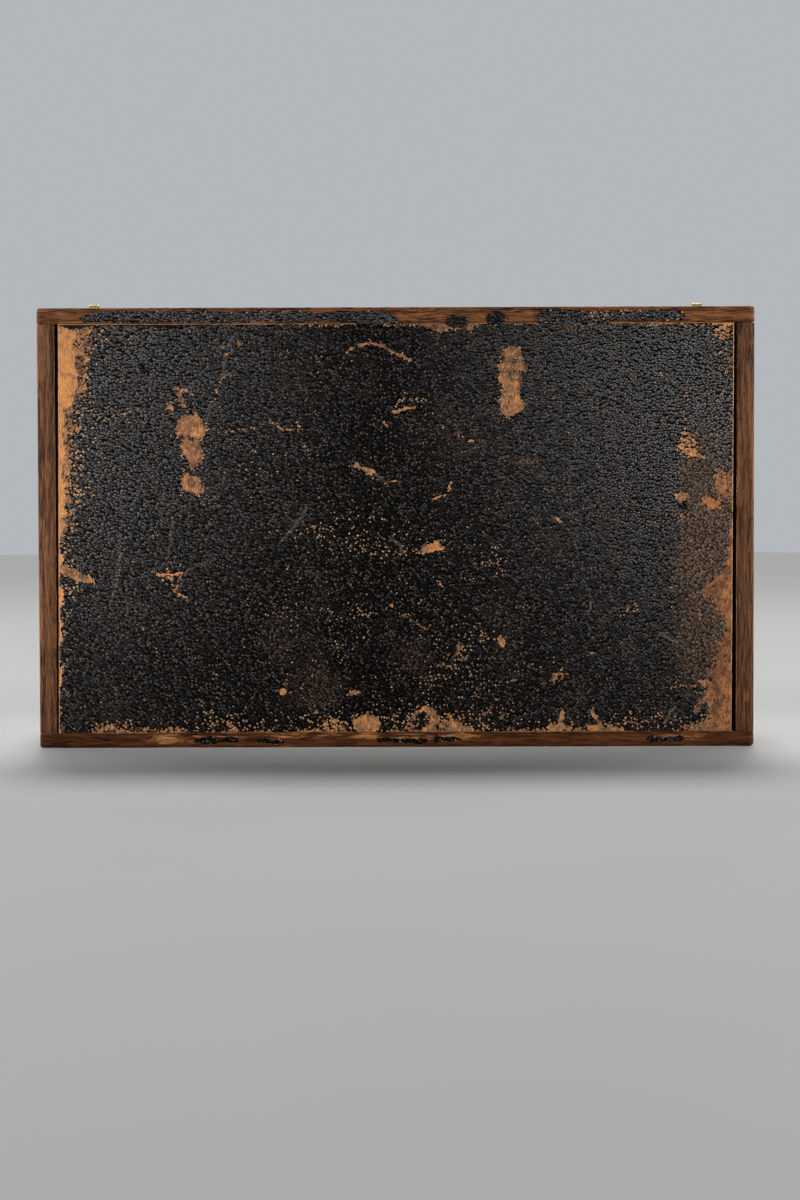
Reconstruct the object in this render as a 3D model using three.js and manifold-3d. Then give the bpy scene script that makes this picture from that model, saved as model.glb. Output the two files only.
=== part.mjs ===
// An old hinged cigar box stood on its front wall, with its underside facing -Y.
// X runs along the box, Y from the underside to the lid, and Z from the front wall up to the back wall.
// The origin is under the middle of the box, on the surface that the front wall stands on.

import * as THREE from 'three';
import { mergeVertices } from 'three/addons/utils/BufferGeometryUtils.js';
import Module from 'manifold-3d';

const wasm = await Module();
wasm.setup();

// Box, in millimetres
const LENGTH = 229;
const BREADTH = 140.8;
const WALL_DEPTH = 56;
const BACK_THICK = 5.1;
const FRONT_THICK = 4.7;
const END_THICK = 5.6;
const CORNER_RADIUS = 1;

// Bottom panel, shrunk away from the end walls, and its paper covering
const PANEL_THICK = 5;
const LEFT_GAP = { front: 0.45, back: 1.2 };
const RIGHT_GAP = { front: 1.5, back: 0.9 };
const COVER_THICK = 0.4;
const COVER_INSET = 0.3;

// Torn strips of the covering left on the back wall's edge
const STRIP_RISE = 3.4;
const LEFT_STRIP = { from: -97.9, to: -0.8 };
const RIGHT_STRIP = { from: 44.6, to: 94.8 };

// Lid
const LID_THICK = 6.3;
const LID_GAP = 0.3;
const LID_FRONT_SETBACK = 0.8;

// Brass hinges on the back wall's outer face
const HINGE_SPACING = 202.2;
const AXIS_RISE = 1.65;
const KNUCKLE_RADIUS = 1.35;
const OUTER_KNUCKLE = 1;
const MIDDLE_KNUCKLE = 1.2;
const KNUCKLE_GAP = 0.1;
const PIN_RADIUS = 0.5;
const PIN_BORE_RADIUS = 0.8;
const PIN_OVERHANG = 0.4;
const LEAF_THICK = 0.7;
const LEAF_START = 0.45;
const LEAF_NECK_END = 2;
const LEAF_CORNER = 0.9;
const NOTCH_REACH = 1.65;
const BOX_LEAF = { reach: 9, halfWidth: 4.5, bradX: 2.6, bradY: 6.9 };
const LID_LEAF = { reach: 5.9, halfWidth: 3.8, bradX: 2.1, bradY: 4.4 };
const BRAD = { headRadius: 1.05, headRise: 0.45, shankRadius: 0.45, shankLength: 3.8 };
const BRAD_HOLE = { radius: 0.75, depth: 4.2 };

// Worked out from the sizes above
const HALF_LENGTH = LENGTH / 2;
const INNER_X = HALF_LENGTH - END_THICK;
const INNER_TOP = BREADTH - BACK_THICK;
const DEPTH = COVER_THICK + WALL_DEPTH + LID_GAP + LID_THICK;
const UNDERSIDE_Y = COVER_THICK - DEPTH / 2;
const RIM_Y = UNDERSIDE_Y + WALL_DEPTH;
const LID_Y = RIM_Y + LID_GAP;
const AXIS_Y = RIM_Y + LID_GAP / 2;
const KNUCKLES_WIDTH = MIDDLE_KNUCKLE + 2 * (OUTER_KNUCKLE + KNUCKLE_GAP);
const HINGES = [
  { name: 'left_hinge', x: -HINGE_SPACING / 2 },
  { name: 'right_hinge', x: HINGE_SPACING / 2 },
];
const ROUND_SEGMENTS = 20;
const SMALL_SEGMENTS = 12;
const CURVE_SEGMENTS = 6;
const MERGE_TOLERANCE = 1e-4;

// Materials
const darkWood = () => new THREE.MeshStandardMaterial({ color: 0x4b2d1b, roughness: 0.55, metalness: 0 });
const panelWood = () => new THREE.MeshStandardMaterial({ color: 0x8f5c30, roughness: 0.7, metalness: 0 });
const blackPaper = () => new THREE.MeshStandardMaterial({ color: 0x1d1b1c, roughness: 0.5, metalness: 0 });
const oldBrass = () => new THREE.MeshStandardMaterial({ color: 0xb0914a, roughness: 0.4, metalness: 1 });

// Joining and cutting of closed meshes
function toSolid(geometry) {
  const bare = geometry.clone();
  bare.deleteAttribute('normal');
  bare.deleteAttribute('uv');
  const merged = mergeVertices(bare, MERGE_TOLERANCE);
  const vertProperties = merged.attributes.position.array;
  const triVerts = new Uint32Array(merged.index.array);
  return new wasm.Manifold(new wasm.Mesh({ numProp: 3, vertProperties, triVerts }));
}

function toGeometry(solid) {
  const { vertProperties, triVerts } = solid.getMesh();
  const geometry = new THREE.BufferGeometry();
  geometry.setAttribute('position', new THREE.BufferAttribute(vertProperties, 3));
  geometry.setIndex(new THREE.BufferAttribute(triVerts, 1));
  geometry.computeVertexNormals();
  return geometry;
}

function cutAway(geometry, cutters) {
  return toGeometry(cutters.reduce((left, cutter) => left.subtract(toSolid(cutter)), toSolid(geometry)));
}

function named(name, geometry, material) {
  const mesh = new THREE.Mesh(geometry, material);
  mesh.name = name;
  return mesh;
}

// A block between two corners
function block(low, high) {
  const size = high.map((value, axis) => value - low[axis]);
  const middle = high.map((value, axis) => (value + low[axis]) / 2);
  return new THREE.BoxGeometry(...size).translate(...middle);
}

// A cylinder along X, centred on the given point
function rodAlongX(radius, length, x, y, z) {
  return new THREE.CylinderGeometry(radius, radius, length, ROUND_SEGMENTS)
    .rotateZ(Math.PI / 2)
    .translate(x, y, z);
}

// An outline in X and Y raised along +Z
function extruded(outline, depth) {
  return new THREE.ExtrudeGeometry(outline, { depth, bevelEnabled: false, curveSegments: CURVE_SEGMENTS });
}

// An outline in X and Z made into a board that runs from nearY along +Y
function board(outline, nearY, thick) {
  return extruded(outline, thick)
    .rotateX(Math.PI / 2)
    .translate(0, nearY + thick, 0);
}

// A rectangle in X and Z with its lower and upper corners rounded by the given radii
function roundedRectangle(left, low, right, high, lowRadius, highRadius) {
  const outline = new THREE.Shape();
  const quarter = Math.PI / 2;
  outline.moveTo(left + lowRadius, low);
  outline.lineTo(right - lowRadius, low);
  if (lowRadius) outline.absarc(right - lowRadius, low + lowRadius, lowRadius, -quarter, 0);
  outline.lineTo(right, high - highRadius);
  if (highRadius) outline.absarc(right - highRadius, high - highRadius, highRadius, 0, quarter);
  outline.lineTo(left + highRadius, high);
  if (highRadius) outline.absarc(left + highRadius, high - highRadius, highRadius, quarter, 2 * quarter);
  outline.lineTo(left, low + lowRadius);
  if (lowRadius) outline.absarc(left + lowRadius, low + lowRadius, lowRadius, 2 * quarter, 3 * quarter);
  return outline;
}

// Holes for the brads that hold one kind of leaf, in the wood under it
function bradHoles(leaf, side) {
  const length = BRAD_HOLE.depth + LEAF_THICK;
  const middleZ = BREADTH + LEAF_THICK - length / 2;
  return HINGES.flatMap(({ x }) => [-1, 1].map((hand) => (
    new THREE.CylinderGeometry(BRAD_HOLE.radius, BRAD_HOLE.radius, length, SMALL_SEGMENTS)
      .rotateX(Math.PI / 2)
      .translate(x + hand * leaf.bradX, AXIS_Y + side * leaf.bradY, middleZ)
  )));
}

// The four walls: the long ones run full length and the end walls butt between them
function walls() {
  const back = roundedRectangle(-HALF_LENGTH, INNER_TOP, HALF_LENGTH, BREADTH, 0, CORNER_RADIUS);
  const front = roundedRectangle(-HALF_LENGTH, 0, HALF_LENGTH, FRONT_THICK, CORNER_RADIUS, 0);
  const left = roundedRectangle(-HALF_LENGTH, FRONT_THICK, -INNER_X, INNER_TOP, 0, 0);
  const right = roundedRectangle(INNER_X, FRONT_THICK, HALF_LENGTH, INNER_TOP, 0, 0);
  const backBoard = cutAway(board(back, UNDERSIDE_Y, WALL_DEPTH), bradHoles(BOX_LEAF, -1));
  return [
    named('back_wall', backBoard, darkWood()),
    named('front_wall', board(front, UNDERSIDE_Y, WALL_DEPTH), darkWood()),
    named('left_end_wall', board(left, UNDERSIDE_Y, WALL_DEPTH), darkWood()),
    named('right_end_wall', board(right, UNDERSIDE_Y, WALL_DEPTH), darkWood()),
  ];
}

// The bottom panel's outline, drawn in by the same amount all round
function panelOutline(inset) {
  const outline = new THREE.Shape();
  outline.moveTo(-INNER_X + LEFT_GAP.front + inset, FRONT_THICK + inset);
  outline.lineTo(INNER_X - RIGHT_GAP.front - inset, FRONT_THICK + inset);
  outline.lineTo(INNER_X - RIGHT_GAP.back - inset, INNER_TOP - inset);
  outline.lineTo(-INNER_X + LEFT_GAP.back + inset, INNER_TOP - inset);
  return outline;
}

// The panel with its sheet of covering, and the strips torn off along the back seam
function underside() {
  const coverY = UNDERSIDE_Y - COVER_THICK;
  const stripLow = INNER_TOP + COVER_INSET;
  const strip = ({ from, to }) => roundedRectangle(from, stripLow, to, stripLow + STRIP_RISE, 0, 0);
  return [
    named('bottom_panel', board(panelOutline(0), UNDERSIDE_Y, PANEL_THICK), panelWood()),
    named('covering', board(panelOutline(COVER_INSET), coverY, COVER_THICK), blackPaper()),
    named('covering_strip_left', board(strip(LEFT_STRIP), coverY, COVER_THICK), blackPaper()),
    named('covering_strip_right', board(strip(RIGHT_STRIP), coverY, COVER_THICK), blackPaper()),
  ];
}

// The lid board, set back at the front so that only the front wall stands on the floor
function lid() {
  const outline = roundedRectangle(
    -HALF_LENGTH, LID_FRONT_SETBACK, HALF_LENGTH, BREADTH, CORNER_RADIUS, CORNER_RADIUS,
  );
  return named('lid', cutAway(board(outline, LID_Y, LID_THICK), bradHoles(LID_LEAF, 1)), darkWood());
}

// A leaf's outline from its narrow neck at the axis out to its flared end, along +Y
function leafOutline({ reach, halfWidth }) {
  const neck = KNUCKLES_WIDTH / 2;
  const shoulder = reach - LEAF_CORNER;
  const flat = halfWidth - LEAF_CORNER;
  const outline = new THREE.Shape();
  outline.moveTo(-neck, LEAF_START);
  outline.lineTo(neck, LEAF_START);
  outline.lineTo(neck, LEAF_NECK_END);
  outline.quadraticCurveTo(neck, shoulder, halfWidth, shoulder);
  outline.quadraticCurveTo(halfWidth, reach, flat, reach);
  outline.lineTo(-flat, reach);
  outline.quadraticCurveTo(-halfWidth, reach, -halfWidth, shoulder);
  outline.quadraticCurveTo(-neck, shoulder, -neck, LEAF_NECK_END);
  return outline;
}

// One leaf about the hinge axis: a flared plate joined by webs to the knuckles that it carries
function leafGeometry(leaf, knuckles, notches) {
  const notchCutters = notches.map(({ x, width }) => {
    const half = width / 2 + KNUCKLE_GAP;
    return block([x - half, -NOTCH_REACH, -LEAF_THICK], [x + half, NOTCH_REACH, 2 * LEAF_THICK]);
  });
  const holes = [-1, 1].map((hand) => (
    new THREE.CylinderGeometry(BRAD_HOLE.radius, BRAD_HOLE.radius, 4 * LEAF_THICK, SMALL_SEGMENTS)
      .rotateX(Math.PI / 2)
      .translate(hand * leaf.bradX, leaf.bradY, 0)
  ));
  const plate = cutAway(extruded(leafOutline(leaf), LEAF_THICK), [...notchCutters, ...holes]);
  let solid = toSolid(plate);
  for (const { x, width } of knuckles) {
    const web = block([x - width / 2, 0, 0], [x + width / 2, KNUCKLE_RADIUS, AXIS_RISE]);
    solid = solid.add(toSolid(rodAlongX(KNUCKLE_RADIUS, width, x, 0, AXIS_RISE))).add(toSolid(web));
  }
  const bore = rodAlongX(PIN_BORE_RADIUS, 2 * KNUCKLES_WIDTH, 0, 0, AXIS_RISE);
  return toGeometry(solid.subtract(toSolid(bore)));
}

// A round-headed brad with its head's underside at the origin and its shank along -Z
function bradGeometry() {
  const { headRadius, headRise, shankRadius, shankLength } = BRAD;
  const dome = Array.from({ length: CURVE_SEGMENTS }, (_, step) => {
    const angle = (step / CURVE_SEGMENTS) * (Math.PI / 2);
    return new THREE.Vector2(headRadius * Math.cos(angle), headRise * Math.sin(angle));
  });
  const profile = [
    new THREE.Vector2(0, -shankLength),
    new THREE.Vector2(shankRadius, -shankLength),
    new THREE.Vector2(shankRadius, 0),
    ...dome,
    new THREE.Vector2(0, headRise),
  ];
  return new THREE.LatheGeometry(profile, SMALL_SEGMENTS).rotateX(Math.PI / 2);
}

// The brads of one leaf
function brads(name, leaf, side) {
  return ['left', 'right'].map((hand, index) => {
    const brad = named(`${name}_brad_${hand}`, bradGeometry(), oldBrass());
    brad.position.set((2 * index - 1) * leaf.bradX, side * leaf.bradY, LEAF_THICK);
    return brad;
  });
}

// A small brass hinge: a leaf on the back wall, a leaf on the lid's back edge, a pin and brads
function hinge({ name, x }) {
  const middle = [{ x: 0, width: MIDDLE_KNUCKLE }];
  const outerX = (KNUCKLES_WIDTH - OUTER_KNUCKLE) / 2;
  const outer = [-outerX, outerX].map((place) => ({ x: place, width: OUTER_KNUCKLE }));
  const boxLeaf = leafGeometry(BOX_LEAF, outer, middle).rotateZ(Math.PI);
  const lidLeaf = leafGeometry(LID_LEAF, middle, outer);
  const pin = rodAlongX(PIN_RADIUS, KNUCKLES_WIDTH + 2 * PIN_OVERHANG, 0, 0, AXIS_RISE);
  const group = new THREE.Group();
  group.position.set(x, AXIS_Y, BREADTH);
  group.add(
    named(`${name}_box_leaf`, boxLeaf, oldBrass()),
    named(`${name}_lid_leaf`, lidLeaf, oldBrass()),
    named(`${name}_pin`, pin, oldBrass()),
    ...brads(`${name}_box`, BOX_LEAF, -1),
    ...brads(`${name}_lid`, LID_LEAF, 1),
  );
  return group;
}

const cigarBox = new THREE.Group();
cigarBox.add(...walls(), ...underside(), lid(), ...HINGES.map(hinge));

export default cigarBox;
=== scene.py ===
"""Looks of an old hinged cigar box, stood on its front wall with its worn underside to the camera."""

import logging
import math
from dataclasses import dataclass
from enum import Enum
from functools import partial
from typing import Sequence, Union

import bpy
import numpy as np
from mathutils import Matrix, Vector


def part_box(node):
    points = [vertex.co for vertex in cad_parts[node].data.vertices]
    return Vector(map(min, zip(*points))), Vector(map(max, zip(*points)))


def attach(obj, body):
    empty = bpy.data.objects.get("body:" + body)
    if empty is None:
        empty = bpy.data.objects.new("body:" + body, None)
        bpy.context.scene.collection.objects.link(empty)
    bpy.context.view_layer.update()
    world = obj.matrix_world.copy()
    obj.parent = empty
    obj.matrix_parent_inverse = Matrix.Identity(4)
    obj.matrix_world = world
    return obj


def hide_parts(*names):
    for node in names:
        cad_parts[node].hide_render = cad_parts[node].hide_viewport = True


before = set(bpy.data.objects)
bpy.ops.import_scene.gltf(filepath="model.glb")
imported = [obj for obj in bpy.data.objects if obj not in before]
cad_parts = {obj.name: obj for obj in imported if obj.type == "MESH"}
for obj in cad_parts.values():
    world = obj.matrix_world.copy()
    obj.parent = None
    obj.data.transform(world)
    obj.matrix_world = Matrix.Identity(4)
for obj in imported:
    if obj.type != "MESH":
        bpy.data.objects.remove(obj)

MM = 0.001
BOX_BODY = "box"
LID_BODY = "lid"

Array = np.ndarray
Colour = tuple[float, float, float]
Point = tuple[float, float]
Point3 = tuple[float, float, float]
Material = bpy.types.Material
Piece = bpy.types.Object

log = logging.getLogger("cigar_box")


class Axis(Enum):
    """A direction of the box: along it, through it from underside to lid, or up it."""

    X = 0
    Y = 1
    Z = 2


class Edge(Enum):
    """An edge of the bottom panel."""

    LEFT = "left"
    RIGHT = "right"
    FRONT = "front"
    BACK = "back"


class Wear(Enum):
    """What a mark does to the covering."""

    BARE = "worn or torn through to paper or wood"
    KEEP = "an island of coat that has stayed on"
    SCUFF = "a pale rub that leaves the coat whole"
    SPECKS = "pebble tops rubbed through one by one"
    BROWN = "coat rubbed flat and brown"
    # Painted shade: the coat's colour is blackened over these, and the mesh is sunk there
    DENT = "a dent or crease that leaves the coat whole"


def smoothstep(low: float, high: float, value: Array) -> Array:
    """Eases numbers from 0 at low to 1 at high."""
    t = np.clip((value - low) / (high - low), 0.0, 1.0)
    return t * t * (3.0 - 2.0 * t)


def shaded(colour: Colour, share: float) -> list[float]:
    """Darkens a colour to a share of its brightness."""
    return [share * c for c in colour]


class Noise:
    """Smooth seeded noise on a plane, from -1 to 1."""

    SIDE = 256
    # Offset of each finer copy, in millimetres
    STEP = (37.0, 53.0)

    def __init__(self, seed: int) -> None:
        """Fills the lattice from a seed."""
        self.lattice = np.random.default_rng(seed).uniform(-1.0, 1.0, (self.SIDE, self.SIDE))

    def at(self, u: Array, v: Array, size: float) -> Array:
        """Reads the noise at places on the plane.

        Args:
            u: First coordinates, in millimetres.
            v: Second coordinates, in millimetres.
            size: Size of one lump, in millimetres.

        Returns:
            The noise there.
        """
        a, b = np.asarray(u) / size, np.asarray(v) / size
        i, j = np.floor(a).astype(int), np.floor(b).astype(int)
        s, t = a - i, b - j
        s, t = s * s * (3.0 - 2.0 * s), t * t * (3.0 - 2.0 * t)
        i0, i1 = i % self.SIDE, (i + 1) % self.SIDE
        j0, j1 = j % self.SIDE, (j + 1) % self.SIDE
        low = self.lattice[i0, j0] * (1.0 - s) + self.lattice[i1, j0] * s
        high = self.lattice[i0, j1] * (1.0 - s) + self.lattice[i1, j1] * s
        return low * (1.0 - t) + high * t

    def fractal(self, u: Array, v: Array, size: float, octaves: int = 3) -> Array:
        """Adds finer and weaker copies of the noise, the largest with lumps of the given size."""
        step_u, step_v = self.STEP
        return sum(self.at(u + step_u * k, v + step_v * k, size / 2**k) / 2**k for k in range(octaves))


Feed = Union["Wire", float, Sequence[float]]


class Wire:
    """A socket of a material that takes part in Python sums."""

    # Mean of a noise texture
    MIDDLE = 0.5

    def __init__(self, graph: "Graph", socket: bpy.types.NodeSocket) -> None:
        """Keeps the socket and its graph."""
        self.graph = graph
        self.socket = socket

    def _math(self, operation: str, first: Feed, second: Feed) -> "Wire":
        """Adds one Math node and returns its result."""
        return self.graph.add("ShaderNodeMath", {"operation": operation}, {0: first, 1: second})

    def __add__(self, other: Feed) -> "Wire":
        """Adds."""
        return self._math("ADD", self, other)

    def __radd__(self, other: Feed) -> "Wire":
        """Adds, from the right."""
        return self._math("ADD", other, self)

    def __sub__(self, other: Feed) -> "Wire":
        """Subtracts."""
        return self._math("SUBTRACT", self, other)

    def __rsub__(self, other: Feed) -> "Wire":
        """Subtracts from a number."""
        return self._math("SUBTRACT", other, self)

    def __mul__(self, other: Feed) -> "Wire":
        """Multiplies."""
        return self._math("MULTIPLY", self, other)

    def __rmul__(self, other: Feed) -> "Wire":
        """Multiplies, from the right."""
        return self._math("MULTIPLY", other, self)

    def swing(self, amount: float) -> "Wire":
        """Centres noise on 0 and scales it."""
        return (self - self.MIDDLE) * amount

    def at_least(self, other: Feed) -> "Wire":
        """Takes the larger of two values."""
        return self._math("MAXIMUM", self, other)

    def step(self, low: Feed, high: Feed) -> "Wire":
        """Eases from 0 at low to 1 at high."""
        feeds = {"Value": self, "From Min": low, "From Max": high}
        return self.graph.add("ShaderNodeMapRange", {"interpolation_type": "SMOOTHSTEP"}, feeds)

    def sibling(self, output: str) -> "Wire":
        """Gives another output of the same node."""
        return Wire(self.graph, self.socket.node.outputs[output])


class Graph:
    """The node tree of one material, ending in a Principled shader."""

    def __init__(self, name: str) -> None:
        """Makes an empty material with its shader.

        Args:
            name: The material's name.
        """
        self.material = bpy.data.materials.new(name)
        self.material.use_nodes = True
        self.tree = self.material.node_tree
        self.shader = self.tree.nodes["Principled BSDF"]

    def add(self, kind: str, settings: dict, feeds: dict, out: Union[str, int] = 0) -> Wire:
        """Adds any node, sets it up and feeds its sockets.

        Args:
            kind: The node's type name.
            settings: Its properties, set before its sockets.
            feeds: Its input sockets, by name or number, as values or wires.
            out: The output to return.

        Returns:
            That output as a wire.
        """
        node = self.tree.nodes.new(kind)
        for key, value in settings.items():
            setattr(node, key, value)
        for key, value in feeds.items():
            self.feed(node.inputs[key], value)
        return Wire(self, node.outputs[out])

    def feed(self, socket: bpy.types.NodeSocket, value: Feed) -> None:
        """Links a wire to a socket, or sets the socket's own value.

        Args:
            socket: An input of a node.
            value: The wire, or the value.
        """
        if isinstance(value, Wire):
            self.tree.links.new(value.socket, socket)
        else:
            socket.default_value = value

    def millimetres(self) -> Wire:
        """Gives the place on the piece in millimetres."""
        place = self.add("ShaderNodeTexCoord", {}, {}, "Object")
        return self.add("ShaderNodeVectorMath", {"operation": "SCALE"}, {0: place, "Scale": 1.0 / MM})

    def vector(self, operation: str, first: Feed, second: Feed) -> Wire:
        """Adds one Vector Math node and returns its result."""
        return self.add("ShaderNodeVectorMath", {"operation": operation}, {0: first, 1: second})

    def noise(self, place: Wire, factors: Sequence[float], detail: float = 2.0, rough: float = 0.5) -> Wire:
        """Adds noise about 0.5, with a number of lumps per millimetre along each axis."""
        feeds = {"Vector": self.vector("MULTIPLY", place, factors), "Detail": detail, "Roughness": rough}
        return self.add("ShaderNodeTexNoise", {}, {"Scale": 1.0, **feeds})

    def warp(self, place: Wire, fineness: float, amount: float) -> Wire:
        """Pushes a place about by noise.

        Args:
            place: Where on the piece, in millimetres.
            fineness: Lumps per millimetre.
            amount: Twice the greatest push, in millimetres.

        Returns:
            The moved place.
        """
        cloud = self.noise(place, (fineness,) * 3, 2.0).sibling("Color")
        settings = {"operation": "MULTIPLY_ADD"}
        middle = (-0.5 * amount,) * 3
        offset = self.add("ShaderNodeVectorMath", settings, {0: cloud, 1: (amount,) * 3, 2: middle})
        return self.vector("ADD", place, offset)

    def blend(self, factor: Feed, first: Feed, second: Feed) -> Wire:
        """Mixes two colours or wires: factor 0 gives the first and 1 the second."""
        first, second = (c if isinstance(c, Wire) else (*c, 1.0) for c in (first, second))
        return self.add("ShaderNodeMix", {"data_type": "RGBA"}, {0: factor, 6: first, 7: second}, 2)

    def attribute(self, name: str) -> Wire:
        """Reads a number that the mesh carries."""
        return self.add("ShaderNodeAttribute", {"attribute_name": name}, {}, "Fac")

    def finish(
        self, colour: Feed, roughness: Feed, height: Wire, metallic: float = 0.0, mirror: float = 0.22
    ) -> Material:
        """Feeds the shader.

        Args:
            colour: Base colour.
            roughness: Roughness.
            height: Relief in millimetres.
            metallic: Metallic, the same all over.
            mirror: Specular level, the same all over.

        Returns:
            The finished material.
        """
        bump = self.add("ShaderNodeBump", {}, {"Strength": 1.0, "Distance": MM, "Height": height})
        feeds = {"Base Color": colour, "Roughness": roughness, "Metallic": metallic, "Normal": bump}
        for name, value in {**feeds, "Specular IOR Level": mirror}.items():
            self.feed(self.shader.inputs[name], value)
        return self.material


@dataclass(frozen=True)
class WoodFinish:
    """Old stained wood, bare where it is worn and on its inner faces.

    Attributes:
        name: The material's name.
        grain: The way that its fibres run.
        dark: Colour of its dark streaks.
        stain: Colour of the stain between them.
        worn: Colour where the stain is rubbed off.
        bare: Colour of the unstained inner faces.
    """

    name: str
    grain: Axis
    dark: Colour = (0.024, 0.0095, 0.0046)
    stain: Colour = (0.130, 0.058, 0.0270)
    worn: Colour = (0.215, 0.089, 0.033)
    bare: Colour = (0.36, 0.19, 0.095)

    # Brightness of streaks, dirt and holes, as shares of the wood's own
    WORN_STREAK, BARE_STREAK, DIRT, HOLE = 0.55, 0.6, 0.35, 0.3

    def along(self, across: float, lengthwise: float) -> list[float]:
        """Gives noise factors that are drawn out along the grain."""
        return [lengthwise if axis is self.grain else across for axis in Axis]

    def make(self) -> Material:
        """Builds the material.

        Returns:
            Wood with streaks, fibres, pores, dirt and rubbed edges.
        """
        g = Graph(self.name)
        place = g.millimetres()
        bent = g.warp(place, 0.03, 2.5)
        streak = g.noise(bent, self.along(0.55, 0.018), 5.0, 0.68)
        fibre = g.noise(bent, self.along(3.4, 0.16), 4.0, 0.7)
        mottle = g.noise(place, self.along(0.55, 0.10), 4.0, 0.65)
        pore = g.noise(bent, self.along(5.5, 0.16), 1.0).step(0.60, 0.72)
        grime = g.noise(place, (0.09,) * 3, 4.0, 0.6)
        chafe = g.noise(bent, self.along(1.1, 0.22), 3.0, 0.65)
        split = g.noise(bent, self.along(0.5, 0.022), 2.0, 0.5)
        crack = (1.0 - ((split - 0.5) * (split - 0.5)).step(0.0, 0.00035)) * grime.step(0.42, 0.6)
        tone = streak.swing(2.4) + fibre.swing(2.8) + mottle.swing(0.8) + 0.5
        stained = g.blend(tone.step(0.0, 1.0), self.dark, self.stain)
        rubbed = (g.attribute("worn") + chafe.swing(1.1) + fibre.swing(0.4)).step(0.42, 0.78)
        rubbed_wood = g.blend(tone.step(0.1, 0.9), shaded(self.worn, self.WORN_STREAK), self.worn)
        outside = g.blend(rubbed, stained, rubbed_wood)
        inside = g.blend(tone.step(0.0, 1.0), shaded(self.bare, self.BARE_STREAK), self.bare)
        within = g.attribute("inside")
        colour = g.blend(within, outside, inside)
        dirt = grime.step(0.48, 0.78) * (0.40 - 0.28 * within)
        soiled = g.blend(dirt, colour, shaded(self.dark, self.DIRT))
        holes = (pore * 0.7).at_least(crack * 0.85) * (1.0 - 0.7 * within)
        pitted = g.blend(holes, soiled, shaded(self.dark, self.HOLE))
        roughness = 0.46 + 0.2 * rubbed + fibre.swing(0.25)
        height = fibre.swing(0.05) + streak.swing(0.05) - pore * 0.05 - crack * 0.15
        height = height + chafe.swing(0.03)
        return g.finish(pitted, roughness, height, mirror=0.05)


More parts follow.
